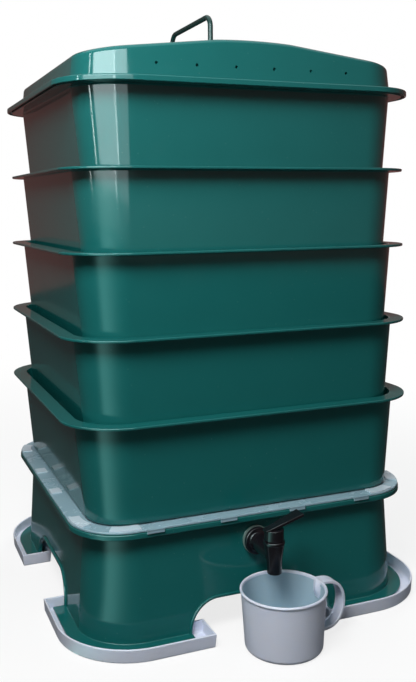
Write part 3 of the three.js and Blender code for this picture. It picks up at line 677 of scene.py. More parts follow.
print(f"roof from {roof_level(LID_WALL[0]) * 1000:.1f} to {roof_level(0) * 1000:.1f} mm")

# %% Lid rings
def lid_rings():
    """The lid's rings from the outside of the roof, round the brim, to the inside.

    A ring of the roof's edge stands in by round (1 - sin t) and lies under the roof by
    round (1 - cos t). A ring of the wall and brim has one level all round.
    """
    t = np.linspace(0, np.pi / 2, BEND_STEPS + 1)
    outer_in = ROOF_ROUND * (1 - np.sin(t)) + LID_DRAFT
    outer_under = ROOF_ROUND * (1 - np.cos(t))
    brim = np.concatenate([
        bend(WALL_FILLET, BRIM_TOP + WALL_FILLET, WALL_FILLET, 2, 3),
        bend(BRIM_OUT - BRIM_ROUND, BRIM_TOP - BRIM_ROUND, BRIM_ROUND, 1, 0),
        bend(BRIM_OUT - LIP_THICK / 2, BRIM_UNDER - LIP_DROP + LIP_THICK / 2,
             LIP_THICK / 2, 0, -2),
        [[BRIM_OUT - LIP_THICK, BRIM_UNDER]],
        [[-SKIRT_IN, BRIM_UNDER]],
        [[-SKIRT_IN - SKIRT_TAPER, BRIM_UNDER - SKIRT_DROP]],
        [[-SKIRT_IN - SKIRT_TAPER - LID_THICK, BRIM_UNDER - SKIRT_DROP]],
        [[-SKIRT_IN - LID_THICK, BRIM_TOP]],
        [[-LID_THICK, BRIM_TOP]],
    ])
    return outer_in, outer_under, brim


def lid_surfaces():
    """The lid's grids: all the rings, a roof outside and a roof inside."""
    outer_in, outer_under, brim = lid_rings()
    run = spread((-1, 1), LID_COLUMNS)
    front_roof, back_roof = rounded_edges(*(LID_WALL - outer_in[:, None]).T, 0, run)
    front_brim, back_brim = rounded_edges(*ring_sizes(LID_WALL, brim).T, run)
    front_in, back_in = rounded_edges(*(LID_WALL - LID_THICK - LID_DRAFT), 0, run)
    for edge in (front_roof, back_roof):
        edge[..., 2] = roof_level(edge[..., 0]) - outer_under[:, None]
    for edge in (front_in, back_in):
        edge[..., 2] = roof_level(edge[..., 0]) - LID_THICK
    front = np.concatenate([front_roof, front_brim, front_in])
    back = np.concatenate([back_roof, back_brim, back_in])
    return hull(front, back)


print(f"{len(lid_rings()[2])} rings round the brim")

# %% Lid
def turned(profile, centre, steps, axis="z"):
    """A turned skin: points (radius cos t, radius sin t) round the axis, at each height.

    profile has a row of (radius, height) for each ring and is closed at a radius of zero.
    Heights run along the axis, upwards for z and to the back for y.
    """
    t = np.linspace(0, 2 * np.pi, steps, endpoint=False)
    radius, height = np.asarray(profile, float).T[..., None]
    first, second, along = radius * np.cos(t), radius * np.sin(t), height + 0 * t
    order = {"z": (first, second, along), "y": (first, along, second)}[axis]
    return grid(np.stack(order, axis=-1) + np.asarray(centre), wrap=True)


lid = new_object("lid_shell", lid_surfaces())
wall_front = STACK_Y - LID_WALL[1]
vent_start, vent_stop = wall_front - LID_THICK * 2, wall_front + LID_THICK * 4
rod = [(0, vent_start), (VENT_RADIUS, vent_start), (VENT_RADIUS, vent_stop), (0, vent_stop)]
cut(lid, new_object("vent_rods", [
    turned(rod, (x, 0, BRIM_TOP + VENT_RISE), VENT_SIDES, axis="y")
    for x in (np.arange(VENTS) - (VENTS - 1) / 2) * VENT_PITCH
]))
dress(lid, "lid_set", "green_plastic", green_plastic, "lid")

# %% [markdown]
# ## Swept sections
# The handle, the beads, the pads, the tap's paddle and the cup's strap are each one section
# carried along a path. A curve with a bevel would do for a plain wire, but it can't change
# its section on the way. At each point of the path the section is set across it, so it
# needs the path's direction and one sideways direction.

# %% Sweeping
def swept(path, sideways, section):
    """A skin along a path: point = path + s sideways + u normal for each (s, u).

    The normal is the cross product of the sideways direction and the path's direction,
    which comes from central differences. sideways and section may change along the path.
    """
    sideways = np.broadcast_to(sideways, path.shape)
    normal = unit(np.cross(sideways, unit(np.gradient(path, axis=0))))
    section = np.broadcast_to(section, (len(path), *np.shape(section)[-2:]))
    return capped(
        path[:, None]
        + section[..., :1] * sideways[:, None]
        + section[..., 1:] * normal[:, None]
    )


def dished_section(width, thick, border, soft, dish):
    """The section of a bar with a raised border along each side of its sunken top.

    soft is the size of the bevels at the edges, and dish the depth of the sunken part.
    """
    edge, top = width / 2, thick / 2
    half = np.array([
        [edge, soft - top], [edge, top - soft], [edge - soft, top],
        [edge - border + soft, top], [edge - border, top - dish],
    ])
    bottom = [[soft - edge, -top], [edge - soft, -top]]
    return np.concatenate([half, half[::-1] * (-1, 1), bottom])


# %% [markdown]
# ## Handle
# The handle is a plastic-coated wire with a fine twist to its surface, bent to a low arch
# from front to back. Its two legs go down through the roof into push-on clips. The twist
# could be a bump in the material, but then the wire's outline would be too smooth, so it is
# a small wave in the radius that turns as it goes along.

# %% Handle
handle_low, handle_high = box_of("lid_handle")
WIRE_RADIUS = (handle_high[0] - handle_low[0]) / 2
HANDLE_BEND = 0.014
TWIST_STARTS = 6
TWIST_PITCH = 0.012
TWIST_DEPTH = 0.00012
WIRE_STEP = 0.0005
WIRE_SIDES = 48
WIRE_BEND_STEPS = 39


def handle_path():
    """Points at even steps up one leg, round a quarter circle, along, round and down.

    Also gives how far along the wire each point is.
    """
    x = (handle_low[0] + handle_high[0]) / 2
    front_y = handle_low[1] + WIRE_RADIUS
    back_y = handle_high[1] - WIRE_RADIUS
    top = handle_high[2] - WIRE_RADIUS
    t = spread((0, np.pi / 2), WIRE_BEND_STEPS)
    first = np.column_stack([
        front_y + HANDLE_BEND * (1 - np.cos(t)), top - HANDLE_BEND * (1 - np.sin(t))])
    second = np.column_stack([
        back_y - HANDLE_BEND * (1 - np.sin(t)), top - HANDLE_BEND * (1 - np.cos(t))])
    foot = handle_low[2]
    line = np.concatenate([[(front_y, foot)], first, second, [(back_y, foot)]])
    gone = np.concatenate([[0], np.cumsum(np.linalg.norm(np.diff(line, axis=0), axis=1))])
    even = np.arange(0, gone[-1], WIRE_STEP)
    y, z = (np.interp(even, gone, line[:, axis]) for axis in (0, 1))
    return np.column_stack([x + 0 * y, y, z]), even


def handle_surface():
    """A round section whose radius waves: depth cos(starts (t - 2 pi s / pitch))."""
    path, gone = handle_path()
    t = np.linspace(0, 2 * np.pi, WIRE_SIDES, endpoint=False)
    phase = t - 2 * np.pi * gone[:, None] / TWIST_PITCH
    radius = WIRE_RADIUS - TWIST_DEPTH * (1 - np.cos(TWIST_STARTS * phase))
    section = np.stack([radius * np.cos(t), radius * np.sin(t)], axis=-1)
    return swept(path, (1.0, 0, 0), section)


handle = new_object("handle_wire", [handle_surface()])
dress(handle, "lid_set", "coated_wire", coated_wire, "lid_handle")

# %% [markdown]
# ## Collector tray
# This milky tray rests on the stand and closes the stack at the bottom. Its wide flat rim
# carries low pads that keep the lowest tray in its place, and hooked tabs that reach down
# over the lip of the stand. The rim and the bowl are one moulding, so they are one skin of
# rings. The pads follow the rim round its corners, which is why they are swept and not cut
# from blocks. They are a piece of their own, because they look paler than the rim.

# %% Collector sizes
BOWL_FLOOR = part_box("collector_tray")[0].z
LIP = np.array([0.2015, 0.1929, 0.0588])
RIM_IN = 0.0008
RIM = LIP - RIM_IN
RIM_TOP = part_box("tray_5")[0].z - SEAT
RIM_DEPTH = 0.0026
BOWL = np.array([0.176, 0.1685, 0.044])
BOWL_TAPER = 0.007
BOWL_WALL = 0.0024
BOWL_BEND = 0.005
EDGE_ROUND = 0.0008
PAD_WIDTH = 0.0125
PAD_ROUND = 0.0004
PAD_IN = 0.0008
PAD_RISE = 0.0015
PAD_LENGTH = 0.034
PAD_SHARE = 0.77
PAD_STEPS = 24
SMALL_PAD_LENGTH = 0.015
SMALL_PAD_Y = 0.041
TAB_WIDTH = 0.019
TAB_PITCH = 0.082
TAB_THICK = 0.0016
TAB_DROP = 0.0018
TAB_ROUND = 0.0005
TABS = 4

print(f"rim at {RIM_TOP * 1000:.1f} mm, bowl {(RIM_TOP - BOWL_FLOOR) * 1000:.1f} mm deep")

# %% Collector rings
def bowl_base(level):
    """Half sizes and corner radius of the inside of the bowl at a level."""
    drop = (RIM_TOP - np.asarray(level)) / (RIM_TOP - BOWL_FLOOR)
    return BOWL - BOWL_TAPER * drop[..., None]


def collector_rings():
    """Rings from under the floor, up the bowl, out round the rim and down the inside."""
    under = RIM_TOP - RIM_DEPTH
    outside = ring_sizes(bowl_base, np.concatenate([
        bend(BOWL_WALL - BOWL_BEND, BOWL_FLOOR + BOWL_BEND, BOWL_BEND, -1, 0),
        [[BOWL_WALL, under]],
    ]))
    rim = ring_sizes(RIM, np.concatenate([
        bend(-EDGE_ROUND, under + EDGE_ROUND, EDGE_ROUND, -1, 0),
        bend(-EDGE_ROUND, RIM_TOP - EDGE_ROUND, EDGE_ROUND, 0, 1),
    ]))
    inside = ring_sizes(bowl_base, np.concatenate([
        bend(EDGE_ROUND, RIM_TOP - EDGE_ROUND, EDGE_ROUND, 1, 2),
        bend(-BOWL_BEND, BOWL_FLOOR + BOWL_WALL + BOWL_BEND, BOWL_BEND, 0, -1),
    ]))
    return np.concatenate([outside, rim, inside])


print(f"{len(collector_rings())} rings")

# %% Rim pads
def rim_path(start, stop, inset, level):
    """Points on the front-right quarter of the rim, by distance along its outline.

    The distance is zero at the middle of the front. Along the front x grows, round the
    corner x = half_x - radius + r sin a and y = -(half_y - radius) - r cos a, where a is
    the distance past the corner's start over the radius, and then y grows up the side.
    """
    s = spread((start, stop), PAD_STEPS)
    half_x, half_y, radius = RIM
    reach = radius - inset
    flat = half_x - radius
    a = np.clip((s - flat) / radius, 0, np.pi / 2)
    rise = np.clip(s - flat - radius * np.pi / 2, 0, None)
    x = np.minimum(s, flat) + reach * np.sin(a)
    y = radius - half_y - reach * np.cos(a) + rise
    return np.column_stack([x, y, level + 0 * x])


def corner_copies(path):
    """The same path at all four corners, mirrored about the middle of the stack."""
    middle = np.array([0, STACK_Y, 0])
    return [path * (side_x, side_y, 1) + middle for side_x in (-1, 1) for side_y in (-1, 1)]


def pad_surfaces():
    """Low pads with rounded tops, swept along the rim near each corner."""
    straight = RIM[1] - RIM[2]
    turn_end = RIM[0] - RIM[2] + RIM[2] * np.pi / 2
    pads = (
        (PAD_SHARE * RIM[0], PAD_LENGTH),
        (turn_end + straight - PAD_SHARE * RIM[1], PAD_LENGTH),
        (turn_end + straight - SMALL_PAD_Y, SMALL_PAD_LENGTH),
    )
    section = rounded_section(PAD_WIDTH, PAD_RISE * 2, PAD_ROUND)
    made = []
    for middle, length in pads:
        ends = middle - length / 2, middle + length / 2
        for path in corner_copies(rim_path(*ends, PAD_IN + PAD_WIDTH / 2, RIM_TOP)):
            sideways = np.cross(unit(np.gradient(path, axis=0)), (0, 0, 1.0))
            made.append(swept(path, sideways, section))
    return made


print(f"{len(pad_surfaces())} pads")

# %% Tabs and collector tray
def tab_surfaces():
    """Tabs made of a flat arm over the lip and a hook down in front of it."""
    made = []
    under = RIM_TOP - RIM_DEPTH
    near, far = RIM[1] - PAD_IN, LIP[1] + SEAT + TAB_THICK
    hook_height = RIM_DEPTH + TAB_DROP
    arm = ((near + far) / 2, far - near, (RIM_TOP + under) / 2, RIM_DEPTH)
    hook = (far - TAB_THICK / 2, TAB_THICK, RIM_TOP - hook_height / 2, hook_height)
    for x in (np.arange(TABS) - (TABS - 1) / 2) * TAB_PITCH:
        for side in (-1, 1):
            for out, depth, level, height in (arm, hook):
                middle = (x, STACK_Y + side * out, level)
                made.append(rounded_block(middle, (TAB_WIDTH, depth, height), TAB_ROUND))
    return made


collector_edges = rounded_edges(*collector_rings().T, RUN)
collector = new_object("collector_tray_shell", [*hull(*collector_edges), *tab_surfaces()])
dress(collector, "base", "white_plastic", rim_plastic, "collector_tray")
pads = new_object("rim_pads", pad_surfaces())
dress(pads, "base", "white_plastic", pad_plastic)

# %% [markdown]
# ## Stand
# The stand is a wall that spreads towards the floor, with a lip round the top, a wide arch
# in each side and a flat foot at each corner. Each wall could be made by itself, but then
# the corners would have to be matched by hand. So the whole section is one closed loop
# carried round the rounded rectangle, and two prisms cut the arches. A raised bead follows
# each arch, and a flat seat behind the tap fills the small gap to the sloping wall.

# %% Stand sizes
stand_low, stand_high = box_of("stand")
STAND_TOP = stand_high[2]
STAND_BOTTOM = stand_low[2]
STAND_WALL = np.array([0.1845, 0.181, 0.05])
FLARE = np.array([0.006, 0.007, 0.01])
STAND_THICK = 0.0025
PLATE = 0.0026
LIP_HEIGHT = 0.006
LIP_ROUND = 0.0012
FOOT_WIDTH = 0.014
FOOT_THICK = 0.0026
FOOT_ROUND = 0.0008
FOOT_FILLET = 0.0009
ARCH_HALF_FRONT = 0.082
ARCH_HALF_SIDE = 0.073
ARCH_TOP = 0.036
ARCH_RADIUS = 0.031
ARCH_STEPS = 16
BEAD_WIDTH = 0.003
BEAD_RISE = 0.002
BEAD_ROUND = 0.0009

print(f"stand {(STAND_TOP - STAND_BOTTOM) * 1000:.1f} mm high")

# %% Stand rings
def stand_base(level):
    """Half sizes and corner radius of the outside of the wall at a level."""
    drop = (STAND_TOP - np.asarray(level)) / (STAND_TOP - STAND_BOTTOM)
    return STAND_WALL + FLARE * drop[..., None]


def stand_rings():
    """A closed loop of rings: the foot, the wall, the lip, the top and the inside."""
    under = STAND_TOP - PLATE
    foot_top = STAND_BOTTOM + FOOT_THICK
    wall = ring_sizes(stand_base, np.concatenate([
        bend(FOOT_WIDTH - FOOT_ROUND, STAND_BOTTOM + FOOT_ROUND, FOOT_ROUND, -1, 0),
        bend(FOOT_WIDTH - FOOT_ROUND, foot_top - FOOT_ROUND, FOOT_ROUND, 0, 1),
        bend(FOOT_FILLET, foot_top + FOOT_FILLET, FOOT_FILLET, -1, -2),
        bend(FOOT_FILLET, under - FOOT_FILLET, FOOT_FILLET, 2, 1),
    ]))
    lip = ring_sizes(LIP, np.concatenate([
        bend(-PLATE - EDGE_ROUND, under - EDGE_ROUND, EDGE_ROUND, 1, 0),
        bend(-PLATE / 2, STAND_TOP - LIP_HEIGHT + PLATE / 2, PLATE / 2, -2, 0),
        bend(-LIP_ROUND, STAND_TOP - LIP_ROUND, LIP_ROUND, 0, 1),
    ]))
    inside = ring_sizes(stand_base, np.array([
        [-STAND_THICK, STAND_TOP], [-STAND_THICK, STAND_BOTTOM]]))
    return np.concatenate([wall, lip, inside, wall[:1]])


print(f"{len(stand_rings())} rings")

# %% Arches
def arch_line(half, grow, foot, steps=ARCH_STEPS):
    """An arch from its right foot over to its left one, as distances across and up.

    Its two shoulders are quarter circles: half - radius + radius cos t across and
    top - radius + radius sin t up. grow makes it larger all round, and foot is the level
    at which it starts and ends.
    """
    t = spread((0, np.pi / 2), steps)
    side, top, radius = half + grow, ARCH_TOP + grow, ARCH_RADIUS + grow
    across = side - radius + radius * np.cos(t)
    up = top - radius + radius * np.sin(t)
    return (np.concatenate([[side], across, -across[::-1], [-side]]),
            np.concatenate([[foot], up, up[::-1], [foot]]))


def on_wall(across, out, up, side_wall):
    """Points from distances across a wall, out from the stack's middle, and up.

    The front and back walls run along x and face y. The side walls run along y and face x.
    """
    x, y = (out, across) if side_wall else (across, out)
    return np.column_stack([x + 0 * up, STACK_Y + y + 0 * up, up])


def arch_prism(half, side_wall):
    """A closed prism in the shape of an arch, long enough to cut both opposite walls."""
    reach = STAND_WALL.max() * 1.5
    across, up = arch_line(half, 0, -ARCH_TOP)
    ends = [on_wall(across, out, up, side_wall) for out in (-reach, reach)]
    return capped(np.stack(ends))


print(f"arches {ARCH_HALF_FRONT * 2000:.0f} and {ARCH_HALF_SIDE * 2000:.0f} mm wide")

# %% Beads
def bead_surfaces():
    """A rounded bead along each arch, sunk into the wall and following its slope."""
    made = []
    depth = BEAD_RISE + STAND_THICK
    section = rounded_section(BEAD_WIDTH, depth, BEAD_ROUND)
    foot = STAND_BOTTOM + FOOT_THICK / 2
    for half, side_wall in ((ARCH_HALF_FRONT, False), (ARCH_HALF_SIDE, True)):
        across, up = arch_line(half, BEAD_WIDTH / 2, foot, ARCH_STEPS * 2)
        out = stand_base(up)[:, 0 if side_wall else 1] + BEAD_RISE - depth / 2
        for side in (-1, 1):
            path = on_wall(across, side * out, up, side_wall)
            outwards = (side, 0.0, 0.0) if side_wall else (0.0, side, 0.0)
            made.append(swept(path, unit(np.cross(outwards, np.gradient(path, axis=0))),
                              section))
    return made


print(f"beads {BEAD_RISE * 1000:.0f} mm proud")

# %% Stand
washer_low, washer_high = box_of("tap_washer_outer")
TAP_X = (washer_low[0] + washer_high[0]) / 2
TAP_LEVEL = (washer_low[2] + washer_high[2]) / 2
WASHER_RADIUS = (washer_high[0] - washer_low[0]) / 2
SEAT_FACE = washer_high[1] + SEAT
SEAT_BACK = SEAT_FACE + WASHER_RADIUS / 2
SEAT_SIDES = 64
FLANGE_BACK = washer_low[1] - SEAT

front, back = rounded_edges(*stand_rings().T, RUN)
stand = new_object("stand_shell", [grid(closed_rings(front, back, ACROSS), wrap=True)])
cut(
    stand,
    new_object("arch_front", [arch_prism(ARCH_HALF_FRONT, False)]),
    new_object("arch_side", [arch_prism(ARCH_HALF_SIDE, True)]),
)
dress(stand, "base", "green_plastic", green_plastic, "stand")
beads = new_object("arch_beads", bead_surfaces())
dress(beads, "base", "green_plastic", green_plastic)
seat = new_object("tap_seat", [turned([
    (0, SEAT_BACK), (WASHER_RADIUS, SEAT_BACK), (WASHER_RADIUS, SEAT_FACE + SEAT),
    (WASHER_RADIUS - SEAT, SEAT_FACE), (0, SEAT_FACE),
], (TAP_X, 0, TAP_LEVEL), SEAT_SIDES, axis="y")])
dress(seat, "base", "green_plastic", green_plastic)

# %% [markdown]
# ## Ant moats
# Each foot of the stand is in a shallow white channel that holds water, so that ants can't
# climb up. A channel runs round one corner with an arm along each side. It could be swept,
# but its ends have to be closed square. So its outer and inner edge are paired point by
# point, and the same rings and patches work as for the trays.

# %% Moat edges
MOAT_RADIUS = 0.083
MOAT_WIDTH = 0.036
MOAT_WALL = 0.002
MOAT_FLOOR = 0.0016
MOAT_DRAFT = 0.001
MOAT_FOOT_BEND = 0.002
MOAT_LIP = 0.0009
ARM_STEPS = 6


def channel_edges(corner, arm_end, inset, level):
    """Outer and inner edge of a channel round a corner, for each inset and level.

    From the end of one arm the edge goes straight to the bend, round a quarter circle about
    the bend's centre, and straight to the end of the other arm. The outer edge has the
    radius less the inset, the inner one the radius less the width, plus the inset.
    """
    sign = np.sign(corner - (0, STACK_Y))
    centre = np.abs(corner - (0, STACK_Y)) - MOAT_RADIUS
    end = np.abs(arm_end - (0, STACK_Y))
    inset, level = np.reshape(inset, (-1, 1)), np.reshape(level, (-1, 1))
    t = spread((0, np.pi / 2), ARC_STEPS)
    straight = np.linspace(0, 1, ARM_STEPS, endpoint=False)
    edges = []
    for radius in (MOAT_RADIUS - inset, MOAT_RADIUS - MOAT_WIDTH + inset):
        first_x = end[0] + inset + straight * (centre[0] - end[0] - inset)
        last_y = end[1] + inset + straight * (centre[1] - end[1] - inset)
        x = [first_x, centre[0] + radius * np.sin(t), centre[0] + radius + 0 * last_y]
        y = [centre[1] + radius + 0 * first_x, centre[1] + radius * np.cos(t),
             last_y[:, ::-1]]
        x, y = np.concatenate(x, axis=1), np.concatenate(y, axis=1)
        edges.append(np.stack([sign[0] * x, STACK_Y + sign[1] * y, level + 0 * x], axis=-1))
    return edges


print(f"channels {MOAT_WIDTH * 1000:.0f} mm wide")

# %% Ant moats
def moat_section(height):
    """(inset, level) from under the floor, up the outside, over the lip and down inside."""
    outside = bend(-MOAT_DRAFT - MOAT_FOOT_BEND, MOAT_FOOT_BEND, MOAT_FOOT_BEND, -1, 0)
    lip = bend(-MOAT_WALL / 2, height - MOAT_LIP, MOAT_WALL / 2, 0, 2, BEND_STEPS * 2)
    inside = bend(-MOAT_WALL - MOAT_FOOT_BEND, MOAT_FLOOR + MOAT_FOOT_BEND,
                  MOAT_FOOT_BEND, 0, -1)
    section = np.concatenate([outside, lip, inside])
    return -section[:, 0], section[:, 1]


MOAT_ACROSS = spread((0, 1), 6)

for node in sorted(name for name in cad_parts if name.startswith("ant_moat")):
    low, high = box_of(node)
    outer = np.where(low[:2] + high[:2] - (0, 2 * STACK_Y) > 0, high[:2], low[:2])
    inner = low[:2] + high[:2] - outer
    edges = channel_edges(outer, inner, *moat_section(high[2]))
    moat = new_object(f"{node}_channel", hull(*edges, MOAT_ACROSS))
    dress(moat, "root", "white_plastic", white_plastic, node)

# %% [markdown]
# ## Tap
# A flange and a barrel come out of the stand, and a tapered spout hangs from the end of the
# barrel under a ringed collar. Cylinders with a Bevel modifier would look much the same,
# but the waist of the spout needs a profile, so all of these are turned shapes with
# softened edges. Flange, barrel and tail turn about a level axis, the spout about an
# upright one.

# %% Tap sizes
body_low, body_high = box_of("tap_body")
lever_low, lever_high = box_of("tap_lever")
plug_low, plug_high = box_of("tap_plug")
SPOUT_Y = (plug_low[1] + plug_high[1]) / 2
SPOUT_TOP = lever_low[2] - SEAT
OUTLET_LEVEL = body_low[2]
FLANGE_RADIUS = 0.0145
FLANGE_THICK = 0.0044
BARREL_RADIUS = 0.0095
TAIL_RADIUS = 0.009
SPOUT_RADIUS = 0.011
OUTLET_RADIUS = 0.0076
WAIST_RADIUS = 0.0087
WAIST_SHARE = 0.55
OUTLET_BORE = 0.005
COLLAR_RADIUS = 0.0114
COLLAR_HEIGHT = 0.004
TAP_ROUND = 0.0009
OUTLET_ROUND = TAP_ROUND * 0.7
TURN_STEPS = 72

print(f"spout {(SPOUT_TOP - OUTLET_LEVEL) * 1000:.1f} mm long")

# %% Tap body
def corner_round(radius, height, way, size=TAP_ROUND, steps=3):
    """A rounded outer corner of a profile, from the side to the face that way points to."""
    t = spread((0, np.pi / 2), steps)
    return np.column_stack([
        radius - size * (1 - np.cos(t)), height - way * size * (1 - np.sin(t))])


def tap_body_surfaces():
    """Flange, barrel and tail about the level axis, the spout about the upright one."""
    face = FLANGE_BACK - FLANGE_THICK
    level_axis = (TAP_X, 0, TAP_LEVEL)
    flange = turned(np.concatenate([
        [(0, FLANGE_BACK)],
        corner_round(FLANGE_RADIUS, FLANGE_BACK, 1)[::-1],
        corner_round(FLANGE_RADIUS, face, -1),
        [(BARREL_RADIUS + TAP_ROUND * 2, face)],
        [(BARREL_RADIUS + TAP_ROUND / 2, face - TAP_ROUND)],
        [(BARREL_RADIUS, face - TAP_ROUND * 3), (BARREL_RADIUS, SPOUT_Y), (0, SPOUT_Y)],
    ]), level_axis, TURN_STEPS, axis="y")
    tail = turned([
        (0, FLANGE_BACK), (TAIL_RADIUS, FLANGE_BACK), (TAIL_RADIUS, body_high[1]),
        (OUTLET_BORE, body_high[1]), (OUTLET_BORE, FLANGE_BACK), (0, FLANGE_BACK),
    ], level_axis, TURN_STEPS, axis="y")
    collar_foot = SPOUT_TOP - COLLAR_HEIGHT
    waist = OUTLET_LEVEL + WAIST_SHARE * (collar_foot - OUTLET_LEVEL)
    bore_end = OUTLET_LEVEL + OUTLET_RADIUS
    spout = turned(np.concatenate([
        [(0, SPOUT_TOP)], corner_round(COLLAR_RADIUS, SPOUT_TOP, 1)[::-1],
        corner_round(COLLAR_RADIUS, collar_foot, -1),
        [(SPOUT_RADIUS, collar_foot), (WAIST_RADIUS, waist)],
        corner_round(OUTLET_RADIUS, OUTLET_LEVEL, -1, OUTLET_ROUND),
        [(OUTLET_BORE, OUTLET_LEVEL), (OUTLET_BORE, bore_end), (0, bore_end)],
    ]), (TAP_X, SPOUT_Y, 0), TURN_STEPS)
    return [flange, tail, spout]


tap_body = new_object("tap_body_shell", tap_body_surfaces())
dress(tap_body, "base", "black_plastic", black_plastic, "tap_body")

# %% [markdown]
# ## Tap lever
# The knob on top of the tap turns with its paddle, which widens and rises as it goes out. A
# flat paddle with square edges would look like a toy, so it gets a shallow dish between two
# borders, as on the real one. It is a dished section swept along a straight, rising line.

# %% Tap lever
KNOB_RADIUS = 0.0104
KNOB_HEIGHT = 0.0115
KNOB_DOME = 0.0005
KNOB_DOME_STEPS = 6
KNOB_FOOT = SPOUT_TOP + SEAT
KNOB_TOP = KNOB_FOOT + KNOB_HEIGHT
PADDLE_ROOT = 0.0102
PADDLE_TIP = lever_high[0] - TAP_X
PADDLE_ROOT_WIDTH = 0.009
PADDLE_TIP_WIDTH = 0.016
PADDLE_THICK = 0.003
PADDLE_RISE = lever_high[2] - KNOB_TOP
PADDLE_DISH = 0.001
PADDLE_BORDER = 0.001625
PADDLE_SOFT = PADDLE_BORDER / 5
PADDLE_STEPS = 24


def paddle_surface():
    """A dished bar that widens to its tip: its section is scaled by the width there."""
    s = spread((0, 1), PADDLE_STEPS)
    x = TAP_X - PADDLE_ROOT + s * (PADDLE_TIP + PADDLE_ROOT - PADDLE_THICK / 3)
    z = KNOB_TOP - PADDLE_THICK / 2 + s * PADDLE_RISE
    path = np.column_stack([x, SPOUT_Y + 0 * x, z])
    width = PADDLE_ROOT_WIDTH + s * (PADDLE_TIP_WIDTH - PADDLE_ROOT_WIDTH)
    section = dished_section(PADDLE_TIP_WIDTH, PADDLE_THICK, PADDLE_BORDER, PADDLE_SOFT,
                             PADDLE_DISH)
    scale = np.stack([width / PADDLE_TIP_WIDTH, 1 + 0 * width], axis=-1)
    return swept(path, (0, 1.0, 0), section * scale[:, None])


def knob_surface():
    """The turned knob under the paddle, with a domed top edge."""
    return turned(np.concatenate([
        [(0, KNOB_FOOT)], corner_round(KNOB_RADIUS, KNOB_FOOT, -1)[::-1],
        corner_round(KNOB_RADIUS, KNOB_TOP, 1, KNOB_DOME, KNOB_DOME_STEPS), [(0, KNOB_TOP)],
    ]), (TAP_X, SPOUT_Y, 0), TURN_STEPS)


lever = new_object("tap_lever_shell", [knob_surface(), paddle_surface()])
dress(lever, "tap_turner", "black_plastic", black_plastic, "tap_lever")

# %% [markdown]
# ## Cup
# The cup is turned, with a thin wall, a rolled rim and a slightly narrower foot. Its handle
# is a strap with a raised edge along each side, bent from the rim round to the lower wall.
# The strap could be a curve with a profile, but the same sweep as for the paddle will do.
# Inside, the wall swells where the strap is moulded on. The rest of the inside gets a
# darker finish with painted shade, and the swelling keeps the paler finish of the outside.

# %% Cup sizes
cup_low, cup_high = box_of("cup")
CUP_HEIGHT = cup_high[2]
CUP_RIM_OUT = (cup_high[1] - cup_low[1]) / 2
CUP_X = cup_low[0] + CUP_RIM_OUT
CUP_Y = (cup_low[1] + cup_high[1]) / 2
CUP_BEAD = 0.0011
CUP_RIM = CUP_RIM_OUT - CUP_BEAD
CUP_BASE = 0.0404
CUP_LEAN = (CUP_RIM - CUP_BASE) / CUP_HEIGHT
CUP_WALL = 0.0018
CUP_FOOT_BEND = 0.0045
CUP_ROLL = 0.00145
CUP_ROLL_STEPS = 15
UNDER_ROLL = CUP_HEIGHT - CUP_ROLL * 2
NECK = 0.0002
CUP_STEPS = 192
INSIDE_ROWS = 24

print(f"cup {CUP_HEIGHT * 1000:.1f} mm high, {CUP_RIM_OUT * 2000:.1f} mm across its rim")

# %% Cup profile
def cup_profile():
    """(radius, height) from under the foot, up the outside, round the rim, down inside."""
    foot = bend(CUP_BASE - CUP_FOOT_BEND, CUP_FOOT_BEND, CUP_FOOT_BEND, -1, 0)
    roll = bend(CUP_RIM_OUT - CUP_ROLL, CUP_HEIGHT - CUP_ROLL, CUP_ROLL, -1, 2,
                CUP_ROLL_STEPS)
    low = CUP_WALL + CUP_FOOT_BEND
    level = np.linspace(UNDER_ROLL, low, INSIDE_ROWS)
    wall = np.column_stack([CUP_RIM - CUP_WALL - CUP_LEAN * (CUP_HEIGHT - level), level])
    bottom = bend(wall[-1, 0] - CUP_FOOT_BEND, low, CUP_FOOT_BEND, 0, -1)
    return np.concatenate([[(0, 0)], foot, [(CUP_RIM - NECK, UNDER_ROLL)], roll, wall,
                           bottom, [(0, CUP_WALL)]])


print(f"{len(cup_profile())} rings")

# %% Cup wall
SWELL = 0.003
SWELL_DROP = 0.009
SWELL_HALF = (0.0095, 0.012)
STRAP_TURN = np.radians(4)


def joint_distance(turn, height):
    """Distance from the handle's upper joint, over the half size of the swelling there.

    It is the hypotenuse of the distance round the rim and the distance down, each over its
    own half size, and at most 1.
    """
    across = np.angle(np.exp(1j * (turn - STRAP_TURN))) * CUP_RIM / SWELL_HALF[0]
    down = (height - CUP_HEIGHT + SWELL_DROP) / SWELL_HALF[1]
    return np.clip(np.hypot(across, down), 0, 1)


def cup_surface():
    """The turned cup, with its inside swollen where the handle is joined on.

    Rings past the highest one stand in by swell cos^2 (distance pi / 2), with the distance
    from the joint.
    """
    profile = cup_profile()
    t = np.linspace(0, 2 * np.pi, CUP_STEPS, endpoint=False)
    radius, height = profile.T[..., None] + 0 * t
    inside = np.arange(len(profile))[:, None] >= profile[:, 1].argmax()
    inside = inside & (radius > CUP_BASE / 2)
    radius = radius - inside * SWELL * np.cos(joint_distance(t, height) * np.pi / 2) ** 2
    points = np.stack([CUP_X + radius * np.cos(t), CUP_Y + radius * np.sin(t), height], -1)
    return grid(points, wrap=True)


print(f"the wall swells by {SWELL * 1000:.0f} mm at the joint")

# %% Strap
STRAP_WIDTH = 0.0145
STRAP_THICK = 0.0032
STRAP_FOOT = 0.16
STRAP_MIDDLE = 0.604
STRAP_FULLNESS = 0.7
STRAP_STEPS = 60
STRAP_EDGE = 0.002
STRAP_SOFT = STRAP_EDGE / 4
STRAP_DISH = 0.0011


